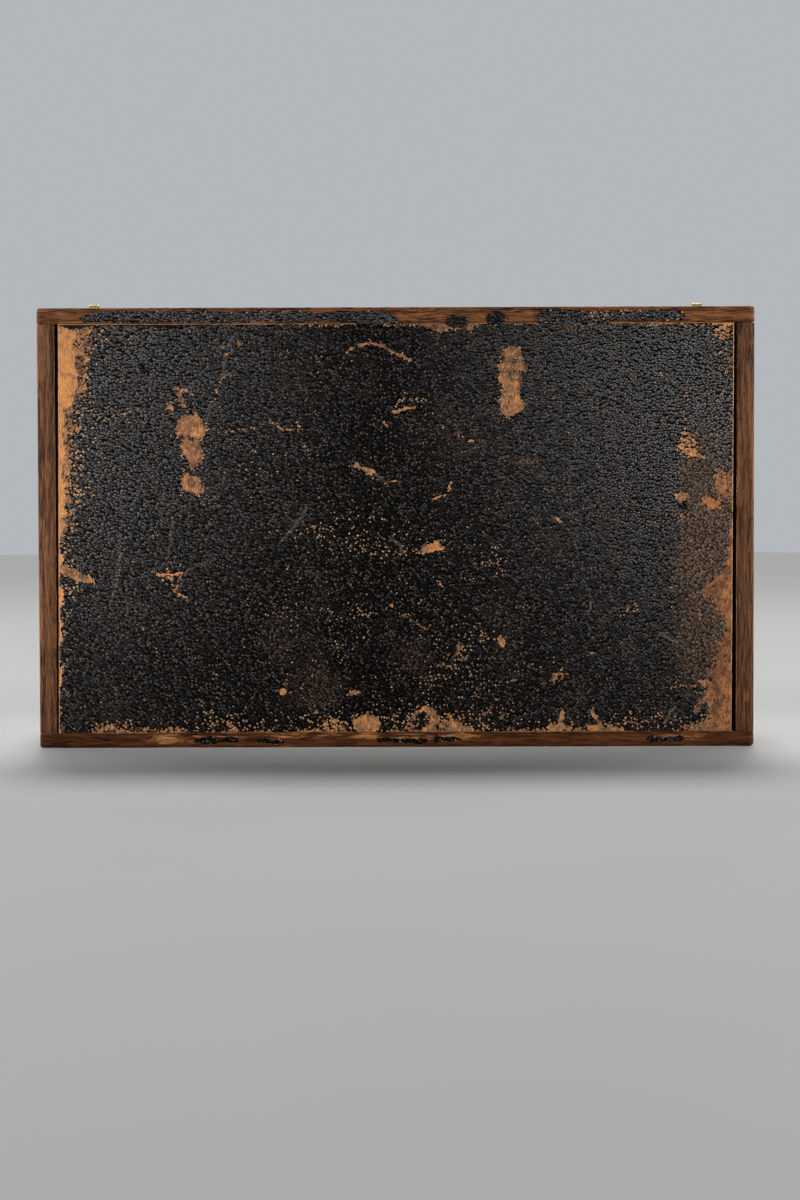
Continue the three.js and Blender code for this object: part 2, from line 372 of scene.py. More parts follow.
@dataclass(frozen=True)
class CoveringFinish:
    """Black pebble-grained covering paper with its wear.

    Attributes:
        name: The material's name.
        pitch: Width of one pebble, in millimetres.
        dull: Colour of the valleys, painted dark as shade, and of the pebble tops where the coat is rubbed
            flat.
        sheen_paint: The same brightened with painted sheen, where the coat is glossiest.
        brown: The same where the coat is rubbed brown, its valleys also painted dark as shade.
        dust: Colour of a pale rub.
        under: Colours of what lies under the coat, from soiled paper to clean wood.
        layers: The shades between which each of those takes over from the one before.
        fleck: Colour of freshly torn fibres.
        rust: Colour of what lies under a coat that is rubbed brown.
    """

    name: str = "black_pebbled_covering"
    pitch: float = 0.86
    dull: tuple[Colour, Colour] = ((0.0003, 0.0003, 0.0003), (0.0640, 0.0555, 0.0490))
    sheen_paint: tuple[Colour, Colour] = ((0.0008, 0.0008, 0.0008), (0.1060, 0.1020, 0.0995))
    brown: tuple[Colour, Colour] = ((0.0120, 0.0076, 0.0056), (0.1040, 0.0670, 0.0470))
    dust: Colour = (0.095, 0.080, 0.068)
    under: tuple[Colour, ...] = (
        (0.034, 0.018, 0.010), (0.132, 0.062, 0.029), (0.280, 0.122, 0.047), (0.375, 0.150, 0.033)
    )
    layers: tuple[Point, ...] = ((-0.1, 0.38), (0.34, 0.78), (0.80, 1.25))
    fleck: Colour = (0.500, 0.295, 0.152)
    rust: Colour = (0.128, 0.046, 0.015)

    # Cosine and sine of the turn of the pebbles' rows
    TURN = (0.83, 0.56)

    def pebbles(self, g: Graph, place: Wire) -> Wire:
        """Lays the pebbles, pushed about.

        Args:
            g: The material's graph.
            place: Where on the piece, in millimetres.

        Returns:
            The distance from the middle of a pebble, with the pebble's own colour beside it.
        """
        pushed = g.add("ShaderNodeSeparateXYZ", {}, {0: g.warp(place, 0.55, 0.4)})
        x, z = pushed, pushed.sibling("Z")
        c, s = self.TURN
        flat = g.add("ShaderNodeCombineXYZ", {}, {"X": x * c - z * s, "Y": x * s + z * c})
        settings = {"voronoi_dimensions": "2D", "feature": "F1"}
        feeds = {"Vector": flat, "Scale": 1.0 / self.pitch, "Randomness": 0.92}
        return g.add("ShaderNodeTexVoronoi", settings, feeds, "Distance")

    def make(self) -> Material:
        """Builds the material from the wear that the mesh carries.

        Returns:
            Pebbled coat over torn paper over bare wood.
        """
        g = Graph(self.name)
        place = g.millimetres()
        tone, gloss = g.attribute("tone"), g.attribute("gloss")
        cells = self.pebbles(g, place)
        pebble = (1.0 - cells * cells * 1.9).at_least(0.0)
        lot = g.add("ShaderNodeSeparateColor", {}, {0: cells.sibling("Color")})
        fine = g.noise(place, (2.4,) * 3, 3.0, 0.6)
        broad = g.noise(place, (0.05,) * 3, 3.0, 0.55)
        patchy = g.noise(place, (0.75,) * 3, 3.0, 0.6)
        grain = g.noise(g.warp(place, 0.05, 3.0), (1.9, 1.9, 0.7), 4.0, 0.75)
        soil = g.noise(place, (0.28,) * 3, 4.0, 0.65)

        loose = lot.step(0.55, 1.0) * 0.36 - 0.08
        wear = g.attribute("wear")
        peak = ((pebble - 0.88) * 0.9 + loose) * (1.0 - wear.step(0.45, 0.9) * 0.8)
        gone = wear + peak + patchy.swing(0.8) + fine.swing(0.65)
        torn = gone.step(0.48, 0.54)
        rim = 1.0 - gone.step(0.54, 0.70)
        thin = gone.step(0.24, 0.50)

        stain = grain.swing(2.5) + patchy.swing(0.9) + (soil - 0.57) * 2.0
        rusty = g.attribute("brown").step(0.05, 0.75)
        shade = tone * 0.9 + stain * (1.0 + 0.8 * rusty) - 0.12 * rusty
        under = self.under[0]
        for (low, high), layer in zip(self.layers, self.under[1:]):
            under = g.blend(shade.step(low, high), under, layer)
        rusted = rusty * (0.25 + 0.50 * shade.step(-0.2, 0.6)) * (1.0 - tone.step(0.6, 0.9) * 0.4)
        under = g.blend(rusted, under, self.rust)
        under = g.blend((grain + fine - 1.0).step(0.06, 0.42) * 0.55 * (1.0 - rusty), under, self.fleck)
        under = g.blend(rim * lot.step(0.45, 1.0) * (0.85 - 0.6 * rusty), under, self.fleck)

        # Painted light on the pebbles: valleys painted dark as shade, the brown coat's valleys too, and
        # tops lighter,
        # partly as rubbed grey and partly as painted sheen that grows where the coat is glossiest
        vivid = (0.05 + 0.95 * lot * lot * lot) * (1.0 - gloss) + (0.20 + 0.80 * lot) * gloss
        rise = pebble + fine.swing(0.8)
        crown = rise.step(0.54, 1.10) * vivid
        bloom = rise.step(0.25, 1.05) * (0.35 + 0.65 * lot)
        rub = g.attribute("scuff") * (0.30 + 0.70 * pebble)
        shaded_pits, tops = (g.blend(gloss, dull, sheen_paint) for dull, sheen_paint in zip(self.dull, self.sheen_paint))
        black = g.blend(crown, shaded_pits, tops)
        flat = rusty * (patchy + soil).step(0.60, 1.00)
        aged = flat.at_least(broad.step(0.50, 0.72) * (1.0 - gloss) * 0.25)
        faded = aged.at_least(thin * (0.1 + 0.7 * crown))
        browned = g.blend(faded, black, g.blend(bloom, *self.brown))
        surface = g.blend(torn, g.blend(rub, browned, self.dust), under)
        # Painted shade: dents, creases and the gap along the back edge take the darkest valley colour
        shaded_dent = g.attribute("shaded_dent").step(0.12, 0.55)
        colour = g.blend(shaded_dent, surface, self.dull[0])

        matt = 0.34 - 0.08 * (1.0 - gloss) + fine.swing(0.12) + 0.2 * rub
        roughness = matt * (1.0 - torn) + (0.66 + fine.swing(0.2)) * torn
        coat_height = 0.12 + pebble * (0.11 + 0.22 * gloss) * (1.0 - 0.75 * flat) + fine.swing(0.06)
        under_height = grain.swing(0.12) + fine.swing(0.10)
        height = coat_height * (1.0 - torn) + under_height * torn
        return g.finish(colour, roughness, height, mirror=0.10)


@dataclass(frozen=True)
class BrassFinish:
    """Old dulled brass.

    Attributes:
        name: The material's name.
        bright: Colour where fingers have kept it clean.
        tarnish: Colour of its dark film.
    """

    name: str = "old_brass"
    bright: Colour = (0.40, 0.295, 0.110)
    tarnish: Colour = (0.150, 0.104, 0.042)

    def make(self) -> Material:
        """Builds the material.

        Returns:
            Brass with blotched tarnish and fine scratches.
        """
        g = Graph(self.name)
        place = g.millimetres()
        blotch = g.noise(place, (0.9,) * 3, 4.0, 0.6)
        scratch = g.noise(place, (9.0, 1.1, 3.0), 2.0)
        film = blotch.step(0.36, 0.62)
        colour = g.blend(film * 0.8, self.bright, self.tarnish)
        roughness = 0.60 + 0.15 * film + scratch.swing(0.2)
        return g.finish(colour, roughness, scratch.swing(0.02) + blotch.swing(0.03), 1.0)


class Bench:
    """Hand tools for working on one mesh with operators."""

    PARALLEL = 0.99

    @staticmethod
    def add(name: str, data: bpy.types.ID) -> Piece:
        """Adds an object to the scene.

        Args:
            name: The object's name.
            data: Its mesh, light or camera.

        Returns:
            The object.
        """
        piece = bpy.data.objects.new(name, data)
        bpy.context.scene.collection.objects.link(piece)
        return piece

    @staticmethod
    def clear() -> None:
        """Goes to object mode and deselects everything."""
        if bpy.context.object and bpy.context.object.mode != "OBJECT":
            bpy.ops.object.mode_set(mode="OBJECT")
        bpy.ops.object.select_all(action="DESELECT")

    @staticmethod
    def take(piece: Piece) -> None:
        """Makes one piece the only selected and active one.

        Args:
            piece: The piece.
        """
        Bench.clear()
        piece.select_set(True)
        bpy.context.view_layer.objects.active = piece

    @staticmethod
    def named(name: str) -> Piece:
        """Names the primitive that was just added and drops its place into its mesh.

        Args:
            name: The name.

        Returns:
            The piece.
        """
        piece = bpy.context.object
        piece.name = piece.data.name = name
        bpy.ops.object.transform_apply(location=True, rotation=True, scale=True)
        return piece

    @staticmethod
    def places(piece: Piece) -> Array:
        """Reads a piece's vertices.

        Args:
            piece: The piece.

        Returns:
            One row of X, Y and Z for each vertex, in millimetres.
        """
        flat = np.empty(len(piece.data.vertices) * 3)
        piece.data.vertices.foreach_get("co", flat)
        return flat.reshape(-1, 3) / MM

    @staticmethod
    def move(piece: Piece, places: Array) -> None:
        """Writes a piece's vertices back, from millimetres."""
        piece.data.vertices.foreach_set("co", (places * MM).ravel())
        piece.data.update()

    @staticmethod
    def carry(piece: Piece, **fields: Array) -> None:
        """Stores numbers on each vertex, by name, for the finish to read.

        Args:
            piece: The piece.
            fields: One number for each vertex, by name.
        """
        for name, values in fields.items():
            layer = piece.data.attributes.new(name, "FLOAT", "POINT")
            layer.data.foreach_set("value", np.asarray(values, np.float32))

    @staticmethod
    def open(piece: Piece, kind: str = "FACE", action: str = "SELECT") -> None:
        """Opens a piece in edit mode with all of it selected, or none.

        Args:
            piece: The piece.
            kind: EDGE or FACE.
            action: SELECT or DESELECT.
        """
        Bench.take(piece)
        bpy.ops.object.mode_set(mode="EDIT")
        bpy.ops.mesh.select_mode(type=kind)
        bpy.ops.mesh.select_all(action=action)

    @staticmethod
    def pick(piece: Piece, kind: str, chosen: Sequence[bool]) -> None:
        """Opens a piece in edit mode with some of its edges or faces selected.

        Args:
            piece: The piece.
            kind: EDGE or FACE.
            chosen: Which of them are selected.
        """
        Bench.open(piece, kind, "DESELECT")
        Bench.close()
        items = piece.data.edges if kind == "EDGE" else piece.data.polygons
        items.foreach_set("select", chosen)
        bpy.ops.object.mode_set(mode="EDIT")

    @staticmethod
    def close() -> None:
        """Goes back to object mode."""
        bpy.ops.object.mode_set(mode="OBJECT")

    @staticmethod
    def subdivide_along(piece: Piece, axis: Axis, cuts: int) -> None:
        """Cuts all edges that run along an axis.

        Args:
            piece: A block made of quads.
            axis: The direction of the edges.
            cuts: How many cuts each edge gets.
        """
        corners = [v.co.copy() for v in piece.data.vertices]
        runs = [corners[e.vertices[1]] - corners[e.vertices[0]] for e in piece.data.edges]
        Bench.pick(piece, "EDGE", [abs(run[axis.value]) > Bench.PARALLEL * run.length for run in runs])
        bpy.ops.mesh.subdivide(number_cuts=cuts)
        Bench.close()

    @staticmethod
    def smooth(piece: Piece, degrees: float = 40.0) -> None:
        """Shades a piece smooth up to an angle."""
        Bench.take(piece)
        bpy.ops.object.shade_smooth_by_angle(angle=math.radians(degrees))

    @staticmethod
    def fit_out(piece: Piece, material: Material, body: str, slot: str, nodes: Sequence[str] = ()) -> Piece:
        """Gives a piece its finish, its body and the nodes that it stands for.

        Args:
            piece: The piece.
            material: Its finish.
            body: The body that it rides on.
            slot: The record's slot of its finish; not used.
            nodes: The nodes that it replaces.

        Returns:
            The same piece.
        """
        piece.data.materials.clear()
        piece.data.materials.append(material)
        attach(piece, body)
        if nodes:
            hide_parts(*nodes)
        log.info("%s: %d faces on %s", piece.name, len(piece.data.polygons), body)
        return piece


@dataclass(frozen=True)
class Patch:
    """A worn oval place on the underside or on a wall's edge.

    Attributes:
        kind: What it does.
        u: Its middle along the box, in millimetres.
        v: Its middle up the box, in millimetres.
        half_u: Half its length.
        half_v: Half its height.
        turn: How far its length is turned, in degrees.
        level: How strong it is.
        tone: 0 for brown paper, 1 for pale wood.
        soft: Width of its edge.
    """

    kind: Wear
    u: float
    v: float
    half_u: float
    half_v: float
    turn: float = 0.0
    level: float = 1.0
    tone: float = 0.6
    soft: float = 0.7

    def strength(self, u: Array, v: Array) -> Array:
        """Gives how strong the mark is at places.

        Args:
            u: Places along the box.
            v: Places up the box.

        Returns:
            Its strength there.
        """
        c, s = math.cos(math.radians(self.turn)), math.sin(math.radians(self.turn))
        along = c * (u - self.u) + s * (v - self.v)
        across = c * (v - self.v) - s * (u - self.u)
        reach = np.hypot(along / self.half_u, across / self.half_v)
        inward = (1.0 - reach) * min(self.half_u, self.half_v)
        return self.level * smoothstep(-self.soft, self.soft, inward)


@dataclass(frozen=True)
class Stroke:
    """A scratch or thin tear on the underside.

    Attributes:
        kind: What it does.
        start: Where it begins, along and up the box, in millimetres.
        end: Where it ends.
        width: Half its width.
        level: How strong it is.
        tone: 0 for brown paper, 1 for pale wood.
        bow: How far its middle is pushed to its left.
    """

    kind: Wear
    start: Point
    end: Point
    width: float
    level: float = 1.0
    tone: float = 0.6
    bow: float = 0.0

    def strength(self, u: Array, v: Array) -> Array:
        """Gives how strong the mark is at places.

        Args:
            u: Places along the box.
            v: Places up the box.

        Returns:
            Its strength there.
        """
        run = np.subtract(self.end, self.start)
        length = float(np.hypot(*run))
        c, s = run / length
        along = c * (u - self.start[0]) + s * (v - self.start[1])
        across = c * (v - self.start[1]) - s * (u - self.start[0])
        t = np.clip(along / length, 0.0, 1.0)
        away = np.hypot(across - 4.0 * self.bow * t * (1.0 - t), along - t * length)
        return self.level * smoothstep(1.6 * self.width, 0.4 * self.width, away)


@dataclass(frozen=True)
class Band:
    """Wear that reaches in from an edge of the panel.

    Attributes:
        edge: The edge.
        reach: How far it reaches in at places along the edge, in millimetres.
        level: How strong it is.
        tone: 0 for brown paper, 1 for pale wood.
        soft: Width of its boundary.
        kind: What it does.
    """

    edge: Edge
    reach: tuple[Point, ...]
    level: float = 1.0
    tone: float = 0.6
    soft: float = 0.8
    kind: Wear = Wear.BARE


def haze(
    kind: Wear, u: float, v: float, half_u: float, half_v: float, level: float = 1.0, soft: float = 0.7,
    turn: float = 0.0
) -> Patch:
    """Makes a patch that has no tone of its own."""
    return Patch(kind, u, v, half_u, half_v, turn, level, soft=soft)


Mark = Union[Patch, Stroke]
bare = partial(Patch, Wear.BARE)
keep = partial(Patch, Wear.KEEP)
tear = partial(Stroke, Wear.BARE)
rub = partial(Stroke, Wear.SCUFF)
specks = partial(haze, Wear.SPECKS)
brown = partial(haze, Wear.BROWN)

BANDS: tuple[Band, ...] = (
    Band(Edge.LEFT, ((5, 0.6), (60, 0.8), (65, 1.6), (69, 2.8), (79, 4.7), (92, 5.6), (101, 6.6),
         (111, 7.4), (121, 9.6), (136, 10.4)), 0.74, 0.42, 2.6),
    Band(Edge.LEFT, ((5, 0.5), (12, 0.1), (30, 0.3), (38, 0.8), (48, 0.5), (60, 0.4), (64, 0.6),
         (70, 1.2), (80, 1.8), (92, 1.4), (101, 2), (107, 3.4), (113, 4.8), (136, 5.4)), 1, 1.05, 1),
    Band(Edge.LEFT, ((5, 1), (30, 1.5), (48, 3.5), (65, 4.5), (80, 9), (95, 11), (113, 12.5),
         (136, 14.5)), 0.42, 0.72, 5),
    Band(Edge.RIGHT, ((5, 12), (14, 11), (17, 12.5), (20.5, 12.5), (22, 8), (29, 7.2), (34, 6.6),
         (36, 3.5), (42, 3), (45, 6.5), (50, 8), (53, 7.8), (56, 4.5), (58, 2), (66, 1.2), (76, 1.5),
         (94, -0.6), (118, -2.6), (121, -2.2), (136, -1.4)), 0.84, 0.44, 3.4),
    Band(Edge.RIGHT, ((5, 7.5), (20, 7), (22, 4.8), (34, 4), (36, 2), (42, 1.8), (50, 4.5), (56, 2.4),
         (66, 0.6), (94, -1.4), (136, -2)), 0.92, 0.78, 2.4),
    Band(Edge.RIGHT, ((5, 14), (20, 18), (34, 17), (50, 19), (66, 10), (84, 8), (94, 4), (136, 2)),
         0.22, 0.24, 8),
    Band(Edge.FRONT, ((-108, 0), (-90, 0.1), (-86, 0.5), (-80, 0.9), (-72, 0.8), (-66, 0.3), (-40, 0.1),
         (-33, 0.6), (-26, 0.6), (-20, 0.4), (-14, 0.8), (-6, 0.1), (2, 0.5), (12, 0.8), (22, 0.8),
         (30, 0.6), (38, 0.9), (45, 0.7), (50, 1.4), (56, 0.5), (61, 1.4), (72, 1), (78, 0.3), (90, 0.4),
         (96, 1.5), (108, 2)), 0.68, 0.62, 1.1),
    Band(Edge.FRONT, ((-108, 0.5), (-97, 2), (-86, 4), (-66, 3), (-62, 5.5), (-14, 5.5), (0, 4),
         (24, 5.5), (45, 4), (85, 5), (92, 3), (108, 2)), 0.26, 0.62, 2.6),
    Band(Edge.BACK, ((-86, 0), (-82, 0.3), (18, 0.3), (24, 0), (64, 0), (70, 0.2), (108, 0.5)),
         0.66, 0.7, 0.3),
    # Painted shadow in the gap along the back wall: sunk a little and blackened
    Band(Edge.BACK, ((-112, 1.1), (-98, 1), (-96.5, 0.3), (-58, 0.25), (-54, -1), (108, -1)),
         1, 0, 0.35, Wear.DENT),
)
MARKS: tuple[Mark, ...] = (
    # The brown scar on the left, with flecks over it and an oval under it
    bare(-65.2, 102.8, 4.3, 5.6, 20, 0.86, 0.52, 1),
    bare(-64.2, 95.4, 3.6, 6.4, 14, 0.88, 0.52, 1),
    tear((-69.4, 100.8), (-63, 100.4), 0.55, 1, 0.9),
    keep(-64.6, 98.5, 0.6, 0.5, 0, 0.8),
    tear((-71.6, 114.6), (-66.4, 114.8), 0.39, 0.8, 0.7),
    bare(-68.9, 112, 1.3, 3, 8, 0.9, 0.6),
    tear((-65.1, 113.6), (-64.6, 107), 0.39, 0.8, 0.7),
    bare(-73, 108.4, 0.9, 1.3, -20, 0.85, 0.75),
    Stroke(Wear.SPECKS, (-74, 113), (-72, 107.5), 1.2, 0.34),
    bare(-65.2, 84.8, 4.6, 2.9, -40, 0.86, 0.55, 1),
    bare(-67.2, 86.4, 1.3, 1.1, 0, 1, 0.9),
    # Small marks and scratches on the upper left
    bare(-50.2, 128.6, 1.1, 0.8, -40, 0.95, 0.6),
    bare(-53.2, 125.4, 0.9, 0.7, 30, 0.9, 0.7),
    bare(-55.6, 128.6, 0.8, 1.2, 0, 0.55, 0.3),
    bare(-54.7, 119.8, 1.1, 0.9, 20, 0.85, 0.5),
    rub((-52.8, 131.5), (-55.6, 118.5), 0.45, 0.35),
    tear((-55.6, 118.5), (-59.2, 109), 0.27, 0.62, 0.8),
    rub((-59, 110), (-60.6, 104.8), 0.4, 0.5),
    # Dented place, sunk and blackened with painted shade
    Patch(Wear.DENT, -80.8, 121, 1, 2.6, 35, 1, 0, 0.6),
    bare(104, 132.6, 4.4, 3.8, 0, 0.34, 0.9, 3),
    Patch(Wear.SCUFF, -79.6, 120.4, 0.7, 2.6, 30, 0.35),
    bare(-88.5, 131, 6, 3.5, 0, 0.05, 0.35, 2),
    tear((-56, 99.8), (-46.2, 102.4), 0.31, 0.66, 0.8, 0.4),
    tear((-46.2, 102.4), (-43.8, 101.4), 0.35, 0.75, 0.8),
    tear((-40.4, 105), (-36.2, 101.4), 0.39, 0.8, 0.8),
    tear((-36.6, 101.4), (-31, 101.7), 0.35, 0.8, 0.6),
    tear((-31.4, 104.2), (-28.8, 100), 0.31, 0.7, 0.7),
    tear((-30, 96.6), (-25.6, 91.2), 0.31, 0.7, 0.6),
    # The arched tear and the marks under it, in the middle
    tear((-15.7, 126.9), (-13.2, 128.1), 0.39, 0.8, 0.7),
    tear((-11.6, 128.6), (-8.3, 129.4), 0.47, 0.95, 0.6),
    tear((-8.3, 129.4), (-1, 126.9), 0.58, 1, 0.6, 0.3),
    tear((0, 126.4), (5.1, 123.9), 0.55, 0.95, 0.55, 0.2),
    tear((-0.6, 108), (6.4, 108.7), 0.39, 0.95, 1),
    tear((9.6, 106.8), (11.6, 107.2), 0.31, 0.8, 0.8),
    tear((-11, 105.8), (-7.7, 104.8), 0.27, 0.6, 0.6),
    tear((-7.6, 105.6), (-2.2, 101.8), 0.35, 0.75, 0.7, 0.9),
    tear((-7.4, 103.8), (-3.6, 101.6), 0.27, 0.7, 0.8, -0.5),
    bare(15.4, 102.6, 0.7, 0.5, 0, 0.9, 1),
    bare(20.4, 100.3, 0.7, 0.5, -30, 0.9, 1),
    bare(23.4, 98.2, 1.1, 0.5, 0, 0.9, 1),
    bare(-12.5, 90.6, 2.6, 1.1, -10, 0.75, 0.5),
    bare(-8.9, 89, 2.2, 1.3, -25, 0.95, 0.9),
    tear((-8, 87), (0, 85.4), 0.31, 0.85, 0.9, -1.2),
    tear((-1.6, 87.4), (0.2, 85.2), 0.35, 0.8, 0.9),
    rub((-6.6, 88), (-4.4, 85.8), 0.35, 0.8),
    tear((17.8, 84.8), (16.6, 81.6), 0.39, 0.9, 0.95),
    tear((12.4, 79.8), (15.4, 80.6), 0.39, 0.9, 0.95),
    tear((10.4, 82.8), (11.4, 81.2), 0.27, 0.7, 0.9),
    tear((26, 81), (29.4, 82.6), 0.27, 0.75, 0.9),
    brown(42, 90.6, 3.2, 1),
    tear((50.4, 74), (52.4, 72.6), 0.43, 0.95, 1),
    # Crease, sunk and darkened a little with painted shade
    Stroke(Wear.DENT, (61, 80), (61.4, 120), 0.5, 0.2),
    # The upright orange scar, with a hole of coat in it and a notch beside it
    bare(36.4, 116.6, 3.6, 9.4, 2, 0.9, 0.58, 0.9),
    bare(37.2, 123.6, 3.8, 3.8, -4, 0.92, 0.52, 0.8),
    tear((34.6, 126.6), (39.8, 127), 0.7, 0.9, 0.55),
    bare(36.6, 110, 3.7, 4.6, 4, 0.9, 0.62, 0.9),
    bare(40.4, 120.6, 1.7, 1.4, 0, 0.95, 0.6),
    keep(37.6, 122.9, 0.8, 0.9, 0, 1),
    keep(41.4, 116.8, 1.3, 1.9, 10, 0.95),
    # The frayed tear on the left, under the middle, and the wedge at the edge
    tear((-79.4, 57.6), (-74.2, 55.4), 0.27, 0.75, 0.8),
    tear((-77, 56.2), (-67.8, 56.4), 0.39, 0.95, 1, -0.5),
    tear((-75.6, 54.4), (-68.2, 55.4), 0.27, 0.75, 0.7, -0.4),
    tear((-68.4, 56), (-70.6, 51.6), 0.35, 0.8, 0.7),
    tear((-74.6, 53), (-69.8, 51.4), 0.27, 0.7, 0.6),
    tear((-71.8, 51), (-66.8, 46.4), 0.35, 0.85, 0.85, 0.3),
    tear((-72.6, 60.6), (-72, 57.2), 0.31, 0.7, 0.6),
    bare(-72.4, 54.8, 4.6, 2.8, -12, 0.36, 0.6, 1.6),
    tear((-69.8, 61), (-69.6, 57.2), 0.31, 0.6, 0.6),
    rub((-71, 72.6), (-73, 61.6), 0.3, 0.5),
    rub((-67, 57), (-58, 61), 0.3, 0.4),
    rub((-88.6, 68), (-91.5, 46.8), 0.35, 0.5, 0.5, 0.8),
    bare(-104, 56.6, 6.6, 2, -28, 0.95, 0.66),
    tear((-103, 56), (-97.4, 53.2), 0.78, 0.9, 0.6),
    bare(-80.7, 37.6, 0.6, 0.7, 0, 0.9, 0.9),
    bare(-101.6, 29.2, 0.8, 0.6, 0, 0.85, 0.9),
    # The oval in the middle with its trail, and the rubs under it
    bare(12.4, 63.3, 4.5, 1.7, 14, 0.92, 0.62, 0.9),
    tear((8, 61.8), (1, 62.4), 0.27, 0.7, 0.7, -0.8),
    rub((2, 62.2), (-2, 66), 0.4, 0.6, 0.5, -0.8),
    rub((-28.5, 76.8), (-37, 66), 0.4, 0.5, 0.5, 0.8),
    bare(-5, 62.5, 6, 1.6, -4, 0.3, 0.4, 1.5),
    bare(14.6, 52.3, 0.9, 0.8, 0, 0.95, 0.95),
    bare(13.7, 55.6, 0.5, 0.5, 0, 0.85, 0.8),
    bare(-1.6, 45.9, 0.8, 0.7, 0, 1, 1),
    bare(8.3, 47, 0.6, 0.4, 0, 0.85, 0.9),
    tear((1.4, 42.9), (9.6, 38), 0.35, 0.85, 0.5),
    bare(-13, 43, 5.5, 1.4, -8, 0.3, 0.25, 1.5),
    bare(33.4, 33.9, 1.2, 1.7, 20, 0.95, 0.95),
    bare(28.5, 34.6, 2.8, 1.2, 0, 0.42, 0.7, 1.2),
    tear((20.2, 33.6), (19.6, 30.4), 0.47, 0.75, 0.4),
    bare(16.5, 27, 9, 2.6, 35, 0.26, 0.25, 2.5),
    bare(8.5, 21.6, 5, 1.2, 20, 0.28, 0.25, 1.2),
    tear((6.2, 21), (12, 23.1), 0.31, 0.66, 0.2, 0.3),
    tear((12, 25.8), (15.8, 27.7), 0.31, 0.66, 0.2, -0.3),
    tear((18.4, 28.8), (21.4, 32.8), 0.35, 0.68, 0.25, 0.3),
    tear((25.4, 19.1), (28.6, 20.2), 0.35, 0.66, 0.2, 0.2),
    tear((31.2, 19.6), (36, 21.2), 0.39, 0.66, 0.15, 0.4),
    tear((36, 21), (41.4, 21.5), 0.27, 0.62, 0.15),
    tear((27.8, 18.8), (28, 16.1), 0.31, 0.66, 0.2),
    tear((31.2, 17.7), (31, 14.5), 0.31, 0.66, 0.2),
    tear((28, 10.2), (31, 12.9), 0.31, 0.66, 0.3, -0.3),
    tear((33.4, 9.1), (35.8, 11.3), 0.31, 0.66, 0.3, 0.3),
    tear((50.1, 23.6), (55.2, 23.1), 0.35, 0.8, 0.8),
    tear((50.1, 22.8), (50.4, 20.4), 0.31, 0.75, 0.7),
    bare(29, 15.5, 10, 5, -20, 0.2, 0.25, 3),
    tear((20, 54.4), (34, 54.6), 0.27, 0.45, 0.4),
    bare(51.2, 22.6, 2.6, 2, 35, 0.5, 0.6, 1.5),
    tear((62, 30), (64, 30), 0.31, 0.9, 0.9),
    rub((61.6, 43), (62.4, 46.4), 0.28, 0.7),
    # Along the front edge
    bare(-79.5, 5.6, 5, 1.4, 0, 0.6, 0.7),
    bare(-54, 6.2, 1.2, 2.8, 0, 0.6, 0.9),
    bare(-29.5, 5.2, 4.8, 0.9, 0, 0.95, 0.85),
    bare(-10, 8, 4.1, 3.5, 12, 0.9, 0.62, 0.9),
    bare(-19.5, 6.6, 6, 2.4, 0, 0.46, 0.85, 1),
    bare(8.6, 8, 5.2, 4.3, 18, 0.74, 0.66, 1.2),
    keep(7.8, 8, 3.4, 2.2, 25, 0.72, 0, 1.1),
    bare(17.8, 6.4, 5, 2, 0, 0.52, 0.5),
    tear((16, 11), (19, 5), 0.35, 0.95, 1, 0.5),
    bare(52.5, 5.4, 4.6, 1.6, 0, 1, 0.7),
    tear((52.4, 6), (53.4, 11), 0.7, 0.95, 0.7),
    bare(67, 5.4, 6.4, 1.5, 0, 1, 0.7),
    tear((66, 6.5), (62.8, 12), 0.62, 0.95, 0.7),
    bare(-35.8, 17.4, 1.5, 1.1, 10, 0.95, 0.85),
    bare(-13.6, 17.2, 2.6, 1, 15, 0.85, 0.7),
    bare(-24.8, 11, 0.9, 0.9, 0, 0.9, 0.9),
    bare(-0.5, 10.2, 0.9, 0.9, 0, 0.8, 0.9),
    # Along the back edge
    bare(16, 135.4, 10.5, 1.5, 0, 0.95, 0.4),
    brown(55.5, 134.4, 3.4, 1),
    bare(54.5, 134.4, 2.2, 0.6, 0, 0.6, 0.15),
    # The rubbed right side
    brown(99, 66, 9.5, 30, 0.62, 6),
    brown(96.5, 58, 8, 8, 0.75, 5),
    brown(96, 35, 8, 18, 0.5, 5),
    brown(93, 89, 3, 4, 0.8, 2.5),
    brown(100, 97, 6, 9, 0.4, 5),
    brown(105, 44, 6, 46, 0.8, 4),
    brown(72, 104, 14, 7, 0.16, 4),
    bare(94, 96.8, 4.4, 3.8, 0, 0.7, 0.85, 1.4),
    bare(95.5, 94, 4.2, 1.5, -20, 0.88, 0.95),
    tear((99.5, 97), (105.8, 96.6), 0.31, 0.6, 0.6),
    bare(104.8, 84, 3.4, 6.4, 10, 0.72, 0.45, 1.4),
    bare(101.4, 77.6, 4, 2.4, -20, 0.78, 0.7, 1.2),
    bare(92.2, 79.8, 3.4, 1.5, 0, 0.8, 0.8),
    # Dented place, sunk and blackened with painted shade
    Patch(Wear.DENT, 91.4, 77.2, 1.4, 1),
    bare(92.8, 74.8, 3.2, 2.4, 0, 0.52, 0.6, 1.6),
    tear((107.6, 78), (107.6, 64), 0.7, 0.85, 0.75),
    bare(88.8, 52, 1.5, 1.2, 0, 0.6, 0.4),
    tear((97, 47), (98.6, 37.6), 0.62, 0.66, 0.5),
    tear((92, 31.4), (100, 29.8), 0.55, 0.62, 0.5),
    tear((86, 19), (96, 19.2), 0.39, 0.7, 0.6),
    tear((87.4, 34), (91.4, 33.4), 0.39, 0.75, 0.7),
    rub((84, 37), (88, 34.2), 0.22, 0.7),
    rub((86.2, 8), (89.4, 12.8), 0.2, 0.9, 0.5, 0.3),
    rub((88.2, 8.4), (90.2, 11.4), 0.18, 0.8),
    bare(88, 8.6, 1.4, 2, -25, 0.5, 0.3),
